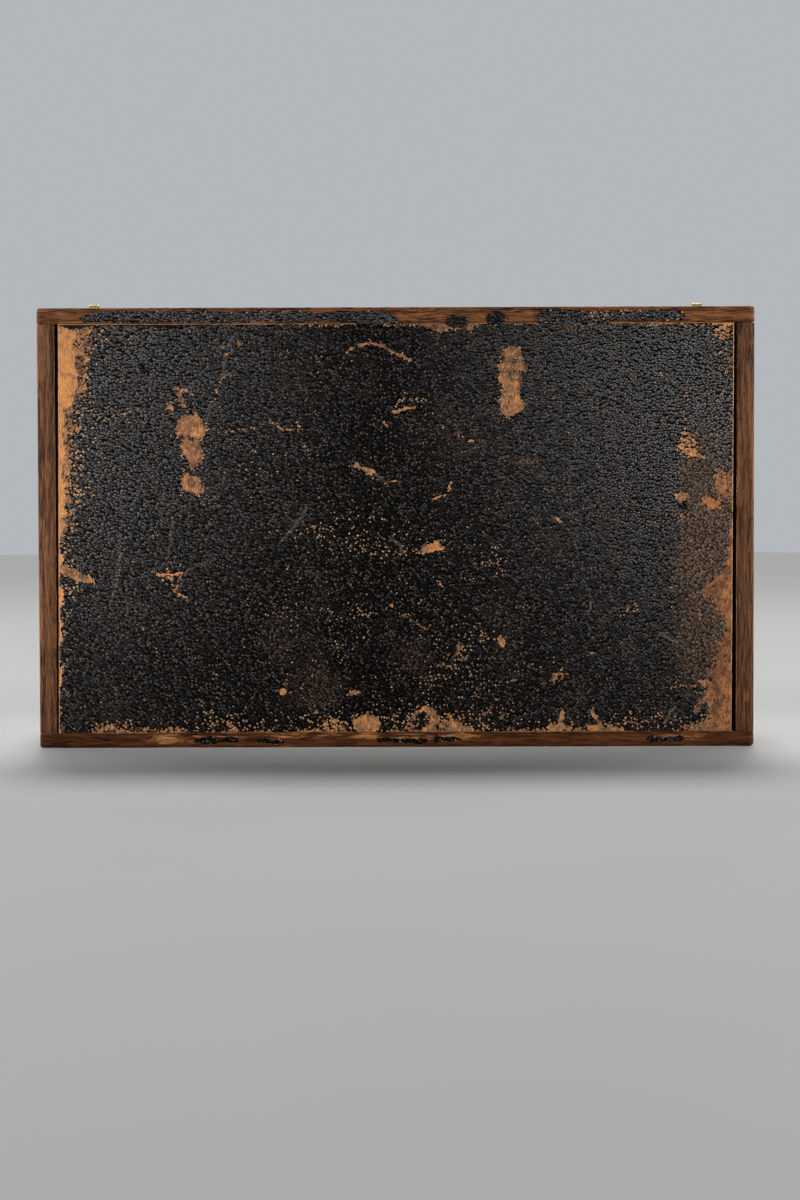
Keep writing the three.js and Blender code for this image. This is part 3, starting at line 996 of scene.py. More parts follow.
    bare(77.2, 118.3, 0.6, 0.5, 0, 0.9, 1),
    bare(84.5, 118.3, 0.6, 0.5, 0, 0.9, 1),
    # Where single pebbles are rubbed through
    specks(-40, 45, 75, 45, 0.05, 20),
    specks(-50, 16, 50, 14, 0.09, 7),
    specks(5, 28, 42, 26, 0.14, 9),
    specks(-35, 43, 12, 7, 0.18, 4),
    specks(-14, 69, 28, 7.5, 0.14, 4),
    specks(-25, 123, 16, 5, 0.09, 4),
    specks(4.8, 110.6, 5.5, 2.4, 0.26, 1.5, 15),
    specks(-91, 6.6, 5.5, 2, 0.34, 1.2),
    specks(-50, 8, 14, 5, 0.1, 3),
    specks(-20, 9, 10, 5, 0.22, 2.5),
    specks(22, 9, 12, 5, 0.22, 2.5),
    specks(31, 60, 5, 5, 0.24, 2.5),
    specks(34, 34, 9, 5.5, 0.22, 2.5),
    specks(76, 44, 2.2, 4, 0.24, 1.2, -15),
    specks(78, 9.5, 8, 3.8, 0.24, 2),
    specks(83, 10, 2.4, 2.4, 0.34, 1),
    specks(106, 133, 5, 4.5, 0.46, 2.5),
    specks(105.5, 125, 4, 8, 0.32, 2.5),
    specks(102.5, 111, 4.5, 3.6, 0.24, 1.8, -20),
    Stroke(Wear.SPECKS, (92.6, 115.5), (92.8, 101), 1, 0.4),
    Stroke(Wear.SPECKS, (86, 112.6), (93, 112.8), 0.6, 0.3),
    specks(97, 58, 9, 8, 0.12, 3),
    specks(-103, 49, 5, 6, 0.16, 3),
    specks(-88, 107.5, 8, 4.5, 0.14, 2.5),
    specks(-88.5, 131, 6, 3.5, 0.2, 2),
    Stroke(Wear.SPECKS, (-48, 95.5), (-34.5, 93), 0.9, 0.28),
    Stroke(Wear.SPECKS, (-51, 90.6), (-36, 88), 0.9, 0.26),
    Stroke(Wear.SPECKS, (-31, 70), (-18.5, 71.8), 0.8, 0.36),
)


class Outline:
    """The outline of a flat node whose ends may slope, in millimetres along and up the box."""

    def __init__(self, node: str) -> None:
        """Reads a node's corners.

        Args:
            node: The node's name.
        """
        corners = np.array([v.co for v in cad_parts[node].data.vertices]) / MM
        self.low, self.high = corners[:, 2].min(), corners[:, 2].max()
        middle = 0.5 * (self.low + self.high)
        self.front, self.back = corners[corners[:, 2] < middle, 0], corners[corners[:, 2] > middle, 0]

    def left(self, v: Array) -> Array:
        """Gives the left end at a height."""
        return np.interp(v, (self.low, self.high), (self.front.min(), self.back.min()))

    def right(self, v: Array) -> Array:
        """Gives the right end at a height."""
        return np.interp(v, (self.low, self.high), (self.front.max(), self.back.max()))


class WearMap:
    """Where the covering is worn, torn, scuffed and speckled.

    Places are in millimetres along the box from its middle and up from the surface that it stands on.
    """

    # Size of a lump and how far it pushes an outline
    RAGGED = ((6.0, 1.2), (1.8, 0.65), (0.8, 0.3))
    SEEDS = (11, 20)
    TONE, TONE_SWING, TONE_SIZE = 0.52, 0.3, 5.0
    REACH_SWING, REACH_SIZE = 0.35, 3.0
    STROKE_SHARE = 0.45
    CLOUD_SIZE = 11.0
    SPECK_SWING, CLOUD_WEAR = 0.5, 0.03
    # Where the coat is dullest along the box and its painted sheen weakest, and how both grow from there
    DULL_U, DULL_SPAN, BOLD_V, BOLD_POWER = -5.0, 100.0, 130.0, 1.3

    def __init__(self, outline: Outline) -> None:
        """Takes the covering's outline."""
        self.outline = outline
        self.noises = [Noise(seed) for seed in range(*self.SEEDS)]

    def inset(self, edge: Edge, u: Array, v: Array) -> tuple[Array, Array]:
        """Gives the distance in from an edge, and the place along it.

        Args:
            edge: The edge.
            u: Places along the box.
            v: Places up the box.

        Returns:
            The distances and the places.
        """
        if edge is Edge.LEFT:
            return u - self.outline.left(v), v
        if edge is Edge.RIGHT:
            return self.outline.right(v) - u, v
        if edge is Edge.FRONT:
            return v - self.outline.low, u
        return self.outline.high - v, u

    def fields(self, u: Array, v: Array) -> dict[str, Array]:
        """Works out the wear at places on the underside.

        Args:
            u: Places along the box.
            v: Places up the box.

        Returns:
            The numbers that the covering's finish reads, by name.
        """
        push_u, push_v = np.zeros_like(u), np.zeros_like(v)
        for (size, amount), first, second in zip(self.RAGGED, self.noises[0:3], self.noises[3:6]):
            push_u += amount * first.at(u, v, size)
            push_v += amount * second.at(u, v, size)
        layers = {kind: np.zeros_like(u) for kind in Wear}
        through = layers[Wear.BARE]
        tone = self.TONE + self.TONE_SWING * self.noises[6].at(u, v, self.TONE_SIZE)
        for band in BANDS:
            away, place = self.inset(band.edge, u + push_u, v + push_v)
            reach = np.interp(place, *zip(*band.reach))
            reach = reach * (1.0 + self.REACH_SWING * self.noises[7].at(u, v, self.REACH_SIZE))
            strength = band.level * smoothstep(-band.soft, band.soft, reach - away)
            if band.kind is Wear.BARE:
                tone = np.where(strength > through, band.tone, tone)
            np.maximum(layers[band.kind], strength, out=layers[band.kind])
        for mark in MARKS:
            share = self.STROKE_SHARE if isinstance(mark, Stroke) else 1.0
            strength = mark.strength(u + share * push_u, v + share * push_v)
            if mark.kind is Wear.BARE:
                tone = np.where(strength > through, mark.tone, tone)
            np.maximum(layers[mark.kind], strength, out=layers[mark.kind])
        cloud = self.noises[8].fractal(u, v, self.CLOUD_SIZE)
        wear = through * (1.0 - layers[Wear.KEEP]) + layers[Wear.SPECKS] * (1.0 + self.SPECK_SWING * cloud)
        wear = wear + self.CLOUD_WEAR * cloud
        # Besides relief and roughness, the gloss field paints sheen and the dent field paints shade into
        # the coat's colour
        return {
            "wear": wear, "tone": tone, "scuff": layers[Wear.SCUFF], "gloss": self.gloss(u, v),
            "brown": layers[Wear.BROWN], "shaded_dent": layers[Wear.DENT],
        }

    def gloss(self, u: Array, v: Array) -> Array:
        """Gives how glossy the coat is and how much painted sheen brightens its colour: rubbed flat and
        dull in the middle and low, bold at the sides.

        Args:
            u: Places along the box.
            v: Places up the box.

        Returns:
            0 where it is dull and 1 where it is glossiest and brightest with painted sheen.
        """
        aside = np.abs(u - self.DULL_U) / self.DULL_SPAN
        above = np.clip(v / self.BOLD_V, 0.0, 1.0) ** self.BOLD_POWER
        return np.clip(0.10 * above + aside * (0.25 + 0.75 * above), 0.0, 1.0)


@dataclass
class Board:
    """A wooden board with softened, slightly wavy and nicked edges, in place of a node.

    Attributes:
        node: The node that it stands for.
        grain: The way that its fibres run.
        rounds: How far its low and high edges are rounded along each axis, in millimetres.
        cells: How many cells it has along each axis.
        inner: The axis and side of the face inside the box.
        seed: Seed of its unevenness.
        body: The body that it rides on.
        slot: The record's slot of its finish.
        marks: Worn places on its edge that faces the camera.
        dark: Colour of its dark streaks.
        stain: Colour of its stain.
        worn: Colour where the stain is rubbed off.
    """

    node: str
    grain: Axis
    rounds: tuple[Point, Point, Point]
    cells: tuple[int, int, int]
    inner: tuple[Axis, int]
    seed: int
    body: str = BOX_BODY
    slot: str = "wall_wood"
    marks: tuple[Patch, ...] = ()
    dark: Colour = WoodFinish.dark
    stain: Colour = WoodFinish.stain
    worn: Colour = WoodFinish.worn

    # Places of the first cells, as shares of the rounded edge
    ROUND_STEPS = (0.0, 0.3, 0.65, 1.0)
    WAVE, WAVE_LENGTH = 0.10, 26.0
    NICK, NICK_LENGTH, NICK_AT = 0.45, 4.5, (0.45, 0.9)
    RUB, RUB_EDGE, RUB_BLOTCH, RUB_HOLLOW = 0.14, 0.34, 0.10, 0.3
    BLOTCH_SIZE = 18.0
    FACING, WITHIN = 0.3, 0.75

    def spread(self, share: Array, axis: int, low: float, high: float) -> Array:
        """Spaces even cells so that the first and last few fall on the rounded edges.

        Args:
            share: Even places from 0 to 1.
            axis: Number of the axis.
            low: The board's low face.
            high: The board's high face.

        Returns:
            Places in millimetres.
        """
        steps = np.array(self.ROUND_STEPS)
        evens = np.arange(len(steps)) / self.cells[axis]
        near, far = self.rounds[axis]
        knots = np.concatenate([evens, 1.0 - evens[::-1]])
        stops = np.concatenate([low + near * steps, high - far * steps[::-1]])
        return np.interp(share, knots, stops)

    def build(self) -> Piece:
        """Models the board.

        Returns:
            The board, without a finish.
        """
        low, high = (np.array(corner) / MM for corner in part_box(self.node))
        Bench.clear()
        bpy.ops.mesh.primitive_cube_add(size=1.0)
        piece = Bench.named(self.node + "_board")
        for axis in Axis:
            Bench.subdivide_along(piece, axis, self.cells[axis.value] - 1)
        share = Bench.places(piece) * MM + 0.5
        places = np.stack([self.spread(share[:, k], k, low[k], high[k]) for k in range(3)], axis=1)
        near = np.array([r[0] for r in self.rounds])
        far = np.array([r[1] for r in self.rounds])
        core = np.clip(places, low + near, high - far)
        reach = np.where(places < core, near, far)
        lean = (places - core) / reach
        sharp = np.sort(np.abs(lean), axis=1)[:, 1]
        outward = lean / np.linalg.norm(lean, axis=1, keepdims=True)
        places = core + outward * reach
        sunk = self.unevenness(places, sharp)
        Bench.move(piece, places - outward * sunk[:, None])
        self.carry_wear(piece, places, outward, sharp, sunk)
        Bench.smooth(piece)
        return piece

    def unevenness(self, places: Array, sharp: Array) -> Array:
        """Gives how far each vertex is sunk by hand planing, shrinkage and knocks.

        Args:
            places: The vertices.
            sharp: 0 on a face and 1 on an edge.

        Returns:
            Depths in millimetres.
        """
        wave, knock = Noise(self.seed), Noise(self.seed + 100)
        run = places[:, self.grain.value]
        side = places.sum(axis=1) - run
        slow = 0.5 + 0.5 * wave.at(run, side, self.WAVE_LENGTH)
        nick = smoothstep(*self.NICK_AT, knock.fractal(run, 2.0 * side, self.NICK_LENGTH, 2))
        return self.WAVE * slow * (0.25 + 0.75 * sharp) + self.NICK * nick * sharp**2

    def carry_wear(self, piece: Piece, places: Array, outward: Array, sharp: Array, sunk: Array) -> None:
        """Stores where the board is rubbed and which face is inside the box.

        Args:
            piece: The board.
            places: Its vertices before they were sunk.
            outward: The way that each faces.
            sharp: 0 on a face and 1 on an edge.
            sunk: How far each was sunk.
        """
        blotch = Noise(self.seed + 200)
        u, v = places[:, 0], places[:, 2]
        cloud = blotch.fractal(u + places[:, 1], v, self.BLOTCH_SIZE)
        worn = self.RUB + self.RUB_EDGE * sharp**2 + self.RUB_BLOTCH * cloud - self.RUB_HOLLOW * sunk
        facing = outward[:, 1] < -self.FACING
        for mark in self.marks:
            worn = np.maximum(worn, np.where(facing, mark.strength(u, v), 0.0))
        axis, side = self.inner
        Bench.carry(piece, worn=worn, inside=outward[:, axis.value] * side > self.WITHIN)

    def dress(self) -> Piece:
        """Models the board and gives it its finish."""
        finish = WoodFinish(self.node + "_wood", self.grain, self.dark, self.stain, self.worn)
        return Bench.fit_out(self.build(), finish.make(), self.body, self.slot, [self.node])


@dataclass
class Walls:
    """The four walls: two long boards with the end walls butted between them."""

    outer: float = 1.05
    edge: float = 0.55
    seam: float = 0.22

    def boards(self) -> list[Board]:
        """Lists the walls.

        Returns:
            The boards, in the order that they are made.
        """
        ends = (self.outer, self.outer)
        faces = (self.edge, self.edge)
        seams = (self.seam, self.seam)
        end_faces = (self.edge, self.seam)
        long_cells, end_cells = (170, 30, 9), (9, 30, 110)
        back_marks = (
            bare(16, 138, 18, 3.4, 0, 0.5),
            bare(40, 138, 5, 3.4, 0, 0.6),
            bare(76, 136.2, 20, 0.5, 0, 0.45),
            bare(-50, 136, 48, 0.5, 0, 0.55),
        )
        front_marks = (
            bare(-73, 2.8, 9, 1.8, 0, 0.8, 0, 2),
            bare(-58, 3.4, 12, 1.3, 0, 0.62),
            bare(-28, 3.6, 17, 1.2, 0, 0.66),
            bare(-9, 3.4, 6, 1.4, 0, 0.74),
            bare(6, 3.2, 9, 1.5, 0, 0.72),
            bare(20, 3.4, 9, 1.3, 0, 0.66),
            bare(60, 3.8, 16, 0.8, 0, 0.52),
            bare(92, 3.2, 10, 1.3, 0, 0.6),
        )
        return [
            Board("back_wall", Axis.X, (ends, faces, (self.seam, self.outer)), long_cells, (Axis.Z, -1), 21,
                  marks=back_marks, stain=(0.142, 0.057, 0.0230)),
            Board("front_wall", Axis.X, (ends, faces, (self.outer, self.seam)), long_cells, (Axis.Z, 1), 22,
                  marks=front_marks, dark=(0.016, 0.0055, 0.0026), stain=(0.074, 0.0245, 0.0083),
                  worn=(0.300, 0.128, 0.042)),
            Board("left_end_wall", Axis.Z, (end_faces, faces, seams), end_cells, (Axis.X, 1), 23),
            Board("right_end_wall", Axis.Z, (end_faces[::-1], faces, seams), end_cells, (Axis.X, -1), 24,
                  marks=(bare(112, 16, 1.2, 3.4, 0, 0.7, 0, 1),), stain=(0.093, 0.041, 0.0190)),
        ]

    def dress(self) -> None:
        """Makes the walls."""
        for board in self.boards():
            board.dress()


@dataclass
class TornSheet:
    """A torn remnant of the covering on a wall's edge.

    Attributes:
        name: The piece's name.
        islands: Its scraps: middle along and up the box, and half sizes.
        nodes: The nodes that it stands for.
        specks: How many of its pebble tops are rubbed through.
        seed: Seed of its tears.
        thick: How far it stands off the wall.
        ragged: How strongly its outline is torn.
        gloss: How glossy its coat is, and how much painted sheen brightens its colour.
    """

    name: str
    islands: tuple[tuple[float, float, float, float], ...]
    nodes: tuple[str, ...]
    specks: float
    seed: int
    thick: float = 0.2
    ragged: float = 1.0
    gloss: float = 0.7

    CELL, MARGIN, OUTSIDE = 0.3, 1.6, -9.0
    COARSE, COARSE_SIZE = 0.35, 4.0
    FINE, FINE_SIZE, FINE_SHIFT = 0.30, 1.3, 91.0
    # How the rim is drawn onto the outline, in small steps
    PASSES, PROBE, PULL, LEAST_SLOPE = 3, 0.05, 0.12, 0.3
    RIM_WIDTH, RIM_SHARE = 0.7, 0.45
    BLOTCH_SIZE, SMOOTH_ANGLE = 6.0, 50.0

    def cover(self, u: Array, v: Array) -> Array:
        """Gives how far a place is inside the remnant's torn outline, in millimetres.

        Args:
            u: Places along the box.
            v: Places up the box.

        Returns:
            The depths, less than 0 outside.
        """
        rough = Noise(self.seed)
        ragged = self.COARSE * rough.at(u, v, self.COARSE_SIZE)
        ragged = ragged + self.FINE * rough.fractal(u + self.FINE_SHIFT, v, self.FINE_SIZE, 2)
        depth = np.full_like(u, self.OUTSIDE)
        for middle_u, middle_v, half_u, half_v in self.islands:
            round_by = min(half_u, half_v)
            past_u = np.maximum(np.abs(u - middle_u) - half_u + round_by, 0.0)
            past_v = np.maximum(np.abs(v - middle_v) - half_v + round_by, 0.0)
            depth = np.maximum(depth, round_by - np.hypot(past_u, past_v))
        return depth + self.ragged * ragged

    def build(self, wall_y: float) -> Piece:
        """Models the remnant.

        Args:
            wall_y: The wall's face that it is glued to.

        Returns:
            The remnant, without a finish.
        """
        spans = np.array(self.islands)
        low = (spans[:, :2] - spans[:, 2:]).min(axis=0) - self.MARGIN
        high = (spans[:, :2] + spans[:, 2:]).max(axis=0) + self.MARGIN
        columns, rows = np.ceil((high - low) / self.CELL).astype(int)
        Bench.clear()
        bpy.ops.mesh.primitive_grid_add(x_subdivisions=int(columns), y_subdivisions=int(rows), size=1.0)
        piece = Bench.named(self.name)
        share = Bench.places(piece) * MM + 0.5
        u, v = (low[k] + share[:, k] * (high[k] - low[k]) for k in range(2))
        depth = self.cover(u, v)
        Bench.move(piece, np.stack([u, np.full_like(u, wall_y), v], axis=1))
        corners = np.array([face.vertices[:] for face in piece.data.polygons])
        self.trim(piece, depth[corners].mean(axis=1) < 0.0)
        self.snap_rim(piece)
        self.thicken(piece, wall_y)
        return piece

    def trim(self, piece: Piece, torn_off: Array) -> None:
        """Deletes the faces that are torn off.

        Args:
            piece: The whole sheet.
            torn_off: Which of its faces go.
        """
        Bench.pick(piece, "FACE", torn_off)
        bpy.ops.mesh.delete(type="FACE")
        Bench.close()

    def snap_rim(self, piece: Piece) -> None:
        """Draws the stepped rim onto the torn outline.

        Args:
            piece: The sheet, trimmed in steps.
        """
        places = Bench.places(piece)
        edges = np.array([edge for face in piece.data.polygons for edge in face.edge_keys])
        pairs, counts = np.unique(edges, axis=0, return_counts=True)
        rim = np.unique(pairs[counts == 1])
        u, v = places[rim, 0], places[rim, 2]
        for _ in range(self.PASSES):
            here = self.cover(u, v)
            slope_u = (self.cover(u + self.PROBE, v) - self.cover(u - self.PROBE, v)) / (2.0 * self.PROBE)
            slope_v = (self.cover(u, v + self.PROBE) - self.cover(u, v - self.PROBE)) / (2.0 * self.PROBE)
            steep = np.maximum(slope_u**2 + slope_v**2, self.LEAST_SLOPE)
            pull = np.clip(here / steep, -self.PULL, self.PULL)
            u, v = u - pull * slope_u, v - pull * slope_v
        places[rim, 0], places[rim, 2] = u, v
        Bench.move(piece, places)

    def thicken(self, piece: Piece, wall_y: float) -> None:
        """Gives the remnant its thickness and its wear.

        Args:
            piece: The torn sheet.
            wall_y: The wall's face that it is glued to.
        """
        Bench.take(piece)
        solidify = piece.modifiers.new("thickness", "SOLIDIFY")
        solidify.thickness = self.thick * MM
        solidify.offset = 1.0
        bpy.ops.object.modifier_apply(modifier=solidify.name)
        places = Bench.places(piece)
        u, v = places[:, 0], places[:, 2]
        depth = self.cover(u, v)
        full = smoothstep(0.0, self.RIM_WIDTH, depth)
        thin = self.thick * (self.RIM_SHARE + (1.0 - self.RIM_SHARE) * full)
        outer = places[:, 1] < wall_y - 0.5 * self.thick
        places[:, 1] = np.where(outer, wall_y - thin, wall_y)
        Bench.move(piece, places)
        blotch = Noise(self.seed + 300).fractal(u, v, self.BLOTCH_SIZE)
        Bench.carry(
            piece,
            wear=0.25 * smoothstep(0.8, 0.0, depth) + self.specks * (1.0 + 0.7 * blotch),
            tone=0.75 + 0.2 * blotch,
            gloss=self.gloss * (1.0 + 0.3 * blotch),
            brown=np.clip(0.3 * blotch, 0.0, 1.0),
        )
        Bench.smooth(piece, self.SMOOTH_ANGLE)


@dataclass
class Underside:
    """The bottom panel, its worn covering, and the remnants of covering on the wall edges."""

    columns: int = 386
    rows: int = 234
    sink: float = 0.33
    shaded_dent: float = 0.34
    ripple: float = 0.035
    rim_drop: float = 0.05

    # Wear at which the sheet starts to sink, and at which it has sunk
    SUNK_AT = (0.34, 0.80)
    RIM, LEAST = 0.7, 0.02
    RIPPLE_SEED, RIPPLE_SIZE = 41, 14.0
    SMOOTH_ANGLE = 60.0

    def build_covering(self) -> Piece:
        """Models the sheet as one closed relief, sunk where it is worn.

        Returns:
            The sheet, without a finish.
        """
        outline = Outline("covering")
        wear_map = WearMap(outline)
        near_y, far_y = (corner[1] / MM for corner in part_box("covering"))
        Bench.clear()
        bpy.ops.mesh.primitive_grid_add(x_subdivisions=self.columns, y_subdivisions=self.rows, size=1.0)
        piece = Bench.named("worn_covering")
        share = Bench.places(piece) * MM + 0.5
        v = outline.low + share[:, 1] * (outline.high - outline.low)
        left, right = outline.left(v), outline.right(v)
        u = left + share[:, 0] * (right - left)
        fields = wear_map.fields(u, v)
        rim = np.minimum.reduce([u - left, right - u, v - outline.low, outline.high - v])
        ripple = self.ripple * (1.0 + Noise(self.RIPPLE_SEED).fractal(u, v, self.RIPPLE_SIZE)) * 0.5
        sunk = self.sink * smoothstep(*self.SUNK_AT, fields["wear"]) + self.shaded_dent * fields["shaded_dent"]
        sunk = sunk + ripple + self.rim_drop * smoothstep(self.RIM, 0.0, rim)
        sunk = np.minimum(sunk, far_y - near_y - self.LEAST)
        Bench.move(piece, np.stack([u, near_y + sunk, v], axis=1))
        self.close_back(piece, far_y)
        places = Bench.places(piece)
        Bench.carry(piece, **wear_map.fields(places[:, 0], places[:, 2]))
        Bench.smooth(piece, self.SMOOTH_ANGLE)
        return piece

    def close_back(self, piece: Piece, back_y: float) -> None:
        """Runs the sheet's rim back to the panel and closes it there.

        Args:
            piece: An open grid.
            back_y: The panel's face.
        """
        count = len(piece.data.vertices)
        Bench.open(piece)
        bpy.ops.mesh.region_to_loop()
        bpy.ops.mesh.extrude_edges_move()
        bpy.ops.mesh.edge_face_add()
        Bench.close()
        places = Bench.places(piece)
        places[count:, 1] = back_y
        Bench.move(piece, places)
        Bench.open(piece)
        bpy.ops.mesh.normals_make_consistent(inside=False)
        Bench.close()

    def remnants(self) -> list[TornSheet]:
        """Lists what is left of the covering on the wall edges.

        Returns:
            The strips on the back wall, the scraps beside them and the flakes on the front wall.
        """
        long_left = (
            (-62, 137.9, 35.4, 1.8), (-64, 137.4, 36, 1.3), (-16, 137.7, 14.5, 1.7), (-6, 136.6, 6.5, 1.7),
        )
        long_right = ((57, 137.3, 11.3, 2.3), (80, 137.9, 12.5, 1.6))
        scraps = ((20, 136.2, 3.6, 2), (32.2, 137, 3.4, 2.6))
        flakes = (
            (-58, 2.4, 7, 0.8), (-41, 2, 4, 0.6), (-3, 2.4, 3.4, 0.8), (5, 2.1, 5, 0.7),
            (16.5, 2.5, 4.6, 0.8), (86, 2.3, 6, 0.8),
        )
        return [
            TornSheet("torn_strip_left", long_left, ("covering_strip_left",), 0.04, 51, 0.3),
            TornSheet("torn_strip_right", long_right, ("covering_strip_right",), 0.20, 52, 0.34),
            TornSheet("torn_scraps_back", scraps, (), 0.05, 53, 0.34, 1.7, 0.25),
            TornSheet("torn_flakes_front", flakes, (), 0.05, 54, 0.15, 1.5, 0.0),
        ]

    def dress(self) -> None:
        """Makes the panel, the covering and its remnants."""
        rounds = ((0.3, 0.3), (0.3, 0.2), (0.15, 0.15))
        panel = Board("bottom_panel", Axis.X, rounds, (120, 9, 80), (Axis.Y, 1), 25, slot="panel_wood",
                      stain=(0.30, 0.145, 0.06), dark=(0.12, 0.055, 0.024))
        self.skew_panel(panel.dress())
        paper = CoveringFinish().make()
        Bench.fit_out(self.build_covering(), paper, BOX_BODY, "covering", ["covering"])
        wall_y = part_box("back_wall")[0].y / MM
        for remnant in self.remnants():
            Bench.fit_out(remnant.build(wall_y), paper, BOX_BODY, "covering", remnant.nodes)

    def skew_panel(self, piece: Piece) -> None:
        """Slopes the panel's ends as its node's are.

        Args:
            piece: The panel, with upright ends.
        """
        outline = Outline("bottom_panel")
        ends = np.concatenate([outline.front, outline.back])
        places = Bench.places(piece)
        left, right = outline.left(places[:, 2]), outline.right(places[:, 2])
        places[:, 0] = left + (places[:, 0] - ends.min()) / np.ptp(ends) * (right - left)
        Bench.move(piece, places)


@dataclass
class Lid:
    """The lid board."""

    corner: float = 1.0
    edge: float = 0.6

    def dress(self) -> None:
        """Makes the lid."""
        corners = (self.corner, self.corner)
        rounds = (corners, (0.3, self.edge), corners)
        Board("lid", Axis.X, rounds, (130, 9, 80), (Axis.Y, -1), 26, LID_BODY, "lid_wood").dress()


@dataclass
class Hinges:
    """The two small brass hinges."""

    sides: tuple[str, ...] = ("left_hinge", "right_hinge")
    box_pieces: tuple[str, ...] = ("box_leaf", "pin", "box_brad_left", "box_brad_right")
    lid_pieces: tuple[str, ...] = ("lid_leaf", "lid_brad_left", "lid_brad_right")
    bevel: float = 0.09

    WELD, FLAT_ANGLE, SHARP_ANGLE, SMOOTH_ANGLE = 0.002, 2.0, 38.0, 45.0

    def build(self, node: str) -> Piece:
        """Softens the edges of one hinge piece.

        Args:
            node: The node that it follows.

        Returns:
            The piece, without a finish.
        """
        piece = Bench.add(node + "_brass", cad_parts[node].data.copy())
        Bench.open(piece)
        bpy.ops.mesh.remove_doubles(threshold=self.WELD * MM)
        bpy.ops.mesh.dissolve_limited(angle_limit=math.radians(self.FLAT_ANGLE))
        Bench.close()
        bevel = piece.modifiers.new("softened", "BEVEL")
        bevel.width = self.bevel * MM
        bevel.segments = 2
        bevel.limit_method = "ANGLE"
        bevel.angle_limit = math.radians(self.SHARP_ANGLE)
        bpy.ops.object.modifier_apply(modifier=bevel.name)
        Bench.smooth(piece, self.SMOOTH_ANGLE)
        return piece

    def dress(self) -> None:
        """Makes both hinges."""
        brass = BrassFinish().make()
        for side in self.sides:
            for body, parts in ((BOX_BODY, self.box_pieces), (LID_BODY, self.lid_pieces)):
                for part in parts:
                    node = f"{side}_{part}"
                    Bench.fit_out(self.build(node), brass, body, "brass", [node])


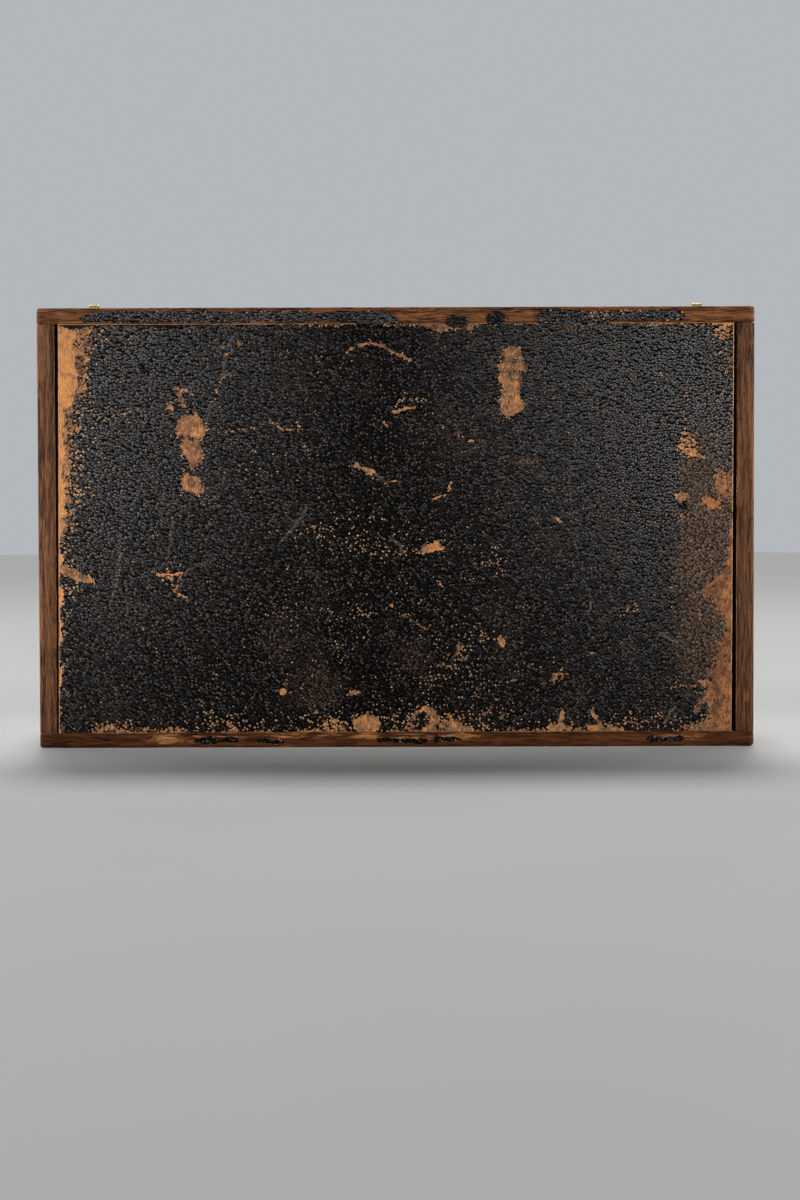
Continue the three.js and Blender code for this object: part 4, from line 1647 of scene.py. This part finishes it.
@dataclass
class Studio:
    """The camera at the photograph's place, a pale floor and soft light.

    Attributes:
        lens: Focal length for a 36 mm frame height, in millimetres.
        away: Distance from the walls' near edges, in millimetres.
        aside: How far the camera stands to the right of the box's middle.
        height: Its height over the floor.
        pitch: How far it looks down, in degrees.
        roll: How far it is tilted, in degrees.
        pale: How bright the backdrop looks.
        dim: How much light it gives.
        ceiling: Strength of the even light from above and behind.
        ceiling_lean: How far behind the box it comes from, in degrees.
        ceiling_angle: How wide it looks, in degrees.
        lamp_colour: Colour of the softboxes.
        sky_colour: Colour of the backdrop.
        floor_radius: Radius of the floor, in metres.
        floor_colours: The two greys of the floor.
    """

    lens: float = 100.0
    away: float = 1066.0
    aside: float = 1.33
    height: float = 103.5
    pitch: float = 3.02
    roll: float = 0.18
    pale: float = 0.50
    dim: float = 0.03
    ceiling: float = 4.6
    ceiling_lean: float = 35.0
    ceiling_angle: float = 20.0
    lamp_colour: Colour = (1.0, 0.985, 0.965)
    sky_colour: Colour = (0.90, 0.95, 1.0)
    floor_radius: float = 1.6
    floor_colours: tuple[Colour, Colour] = ((0.225, 0.225, 0.223), (0.240, 0.240, 0.238))

    FRAME_HEIGHT = 36.0

    def place_camera(self) -> None:
        """Adds the camera."""
        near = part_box("front_wall")[0].y / MM
        data = bpy.data.cameras.new("camera")
        data.lens = self.lens
        data.sensor_width = self.FRAME_HEIGHT
        data.sensor_fit = "AUTO"
        camera = Bench.add("camera", data)
        camera.location = Vector((self.aside, near - self.away, self.height)) * MM
        camera.rotation_euler = (math.radians(90.0 - self.pitch), math.radians(self.roll), 0.0)
        bpy.context.scene.camera = camera

    def lay_floor(self) -> None:
        """Adds the floor."""
        Bench.clear()
        bpy.ops.mesh.primitive_circle_add(vertices=96, radius=self.floor_radius, fill_type="NGON")
        floor = Bench.named("floor")
        g = Graph("pale_floor")
        mottle = g.noise(g.millimetres(), (0.01,) * 3, 4.0)
        colour = g.blend(mottle, *self.floor_colours)
        floor.data.materials.append(g.finish(colour, 0.7, mottle.swing(0.02)))

    def light(
        self, name: str, place: Point3, target: Point3, side: float, power: float, spread: float = 180.0
    ) -> None:
        """Hangs one square softbox.

        Args:
            name: Its name.
            place: Where it hangs, in metres.
            target: What it faces.
            side: Its width, in metres.
            power: Its power, in watts.
            spread: The angle that it lights, in degrees.
        """
        data = bpy.data.lights.new(name, "AREA")
        data.size = side
        data.energy = power
        data.color = self.lamp_colour
        data.spread = math.radians(spread)
        lamp = Bench.add(name, data)
        lamp.visible_camera = False
        lamp.location = place
        aim = Vector(target) - Vector(place)
        lamp.rotation_euler = aim.to_track_quat("-Z", "Y").to_euler()

    def light_stage(self) -> None:
        """Adds the softboxes and the pale surroundings."""
        self.light("left_front", (-0.48, -0.21, 0.17), (-0.08, 0.0, 0.08), 0.16, 0.435, 40.0)
        self.light("right_front", (0.48, -0.21, 0.17), (0.08, 0.0, 0.08), 0.16, 0.41, 40.0)
        self.light("left_back", (-0.6, 0.55, 0.5), (0.0, 0.0, 0.07), 0.4, 4.0)
        self.light("right_back", (0.6, 0.55, 0.5), (0.0, 0.0, 0.07), 0.4, 4.0)
        sky = bpy.data.lights.new("ceiling", "SUN")
        sky.energy = self.ceiling
        sky.angle = math.radians(self.ceiling_angle)
        above = Bench.add("ceiling", sky)
        above.rotation_euler = (math.radians(-self.ceiling_lean), 0.0, 0.0)
        world = bpy.data.worlds.new("surroundings")
        world.use_nodes = True
        tree = world.node_tree
        seen = tree.nodes.new("ShaderNodeLightPath").outputs["Is Camera Ray"]
        glow = tree.nodes.new("ShaderNodeMapRange")
        glow.inputs["To Min"].default_value = self.dim
        glow.inputs["To Max"].default_value = self.pale
        backdrop = tree.nodes["Background"].inputs
        backdrop["Color"].default_value = (*self.sky_colour, 1.0)
        tree.links.new(seen, glow.inputs["Value"])
        tree.links.new(glow.outputs["Result"], backdrop["Strength"])
        bpy.context.scene.world = world
        bpy.context.scene.view_settings.view_transform = "Standard"

    def dress(self) -> None:
        """Sets up the camera, floor and lights."""
        self.place_camera()
        self.lay_floor()
        self.light_stage()


def main() -> None:
    """Builds the box's looks in order."""
    logging.basicConfig(level=logging.INFO, format="%(name)s: %(message)s")
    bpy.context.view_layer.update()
    for assembly in (Studio(), Walls(), Underside(), Lid(), Hinges()):
        assembly.dress()


if __name__ == "__main__":
    main()
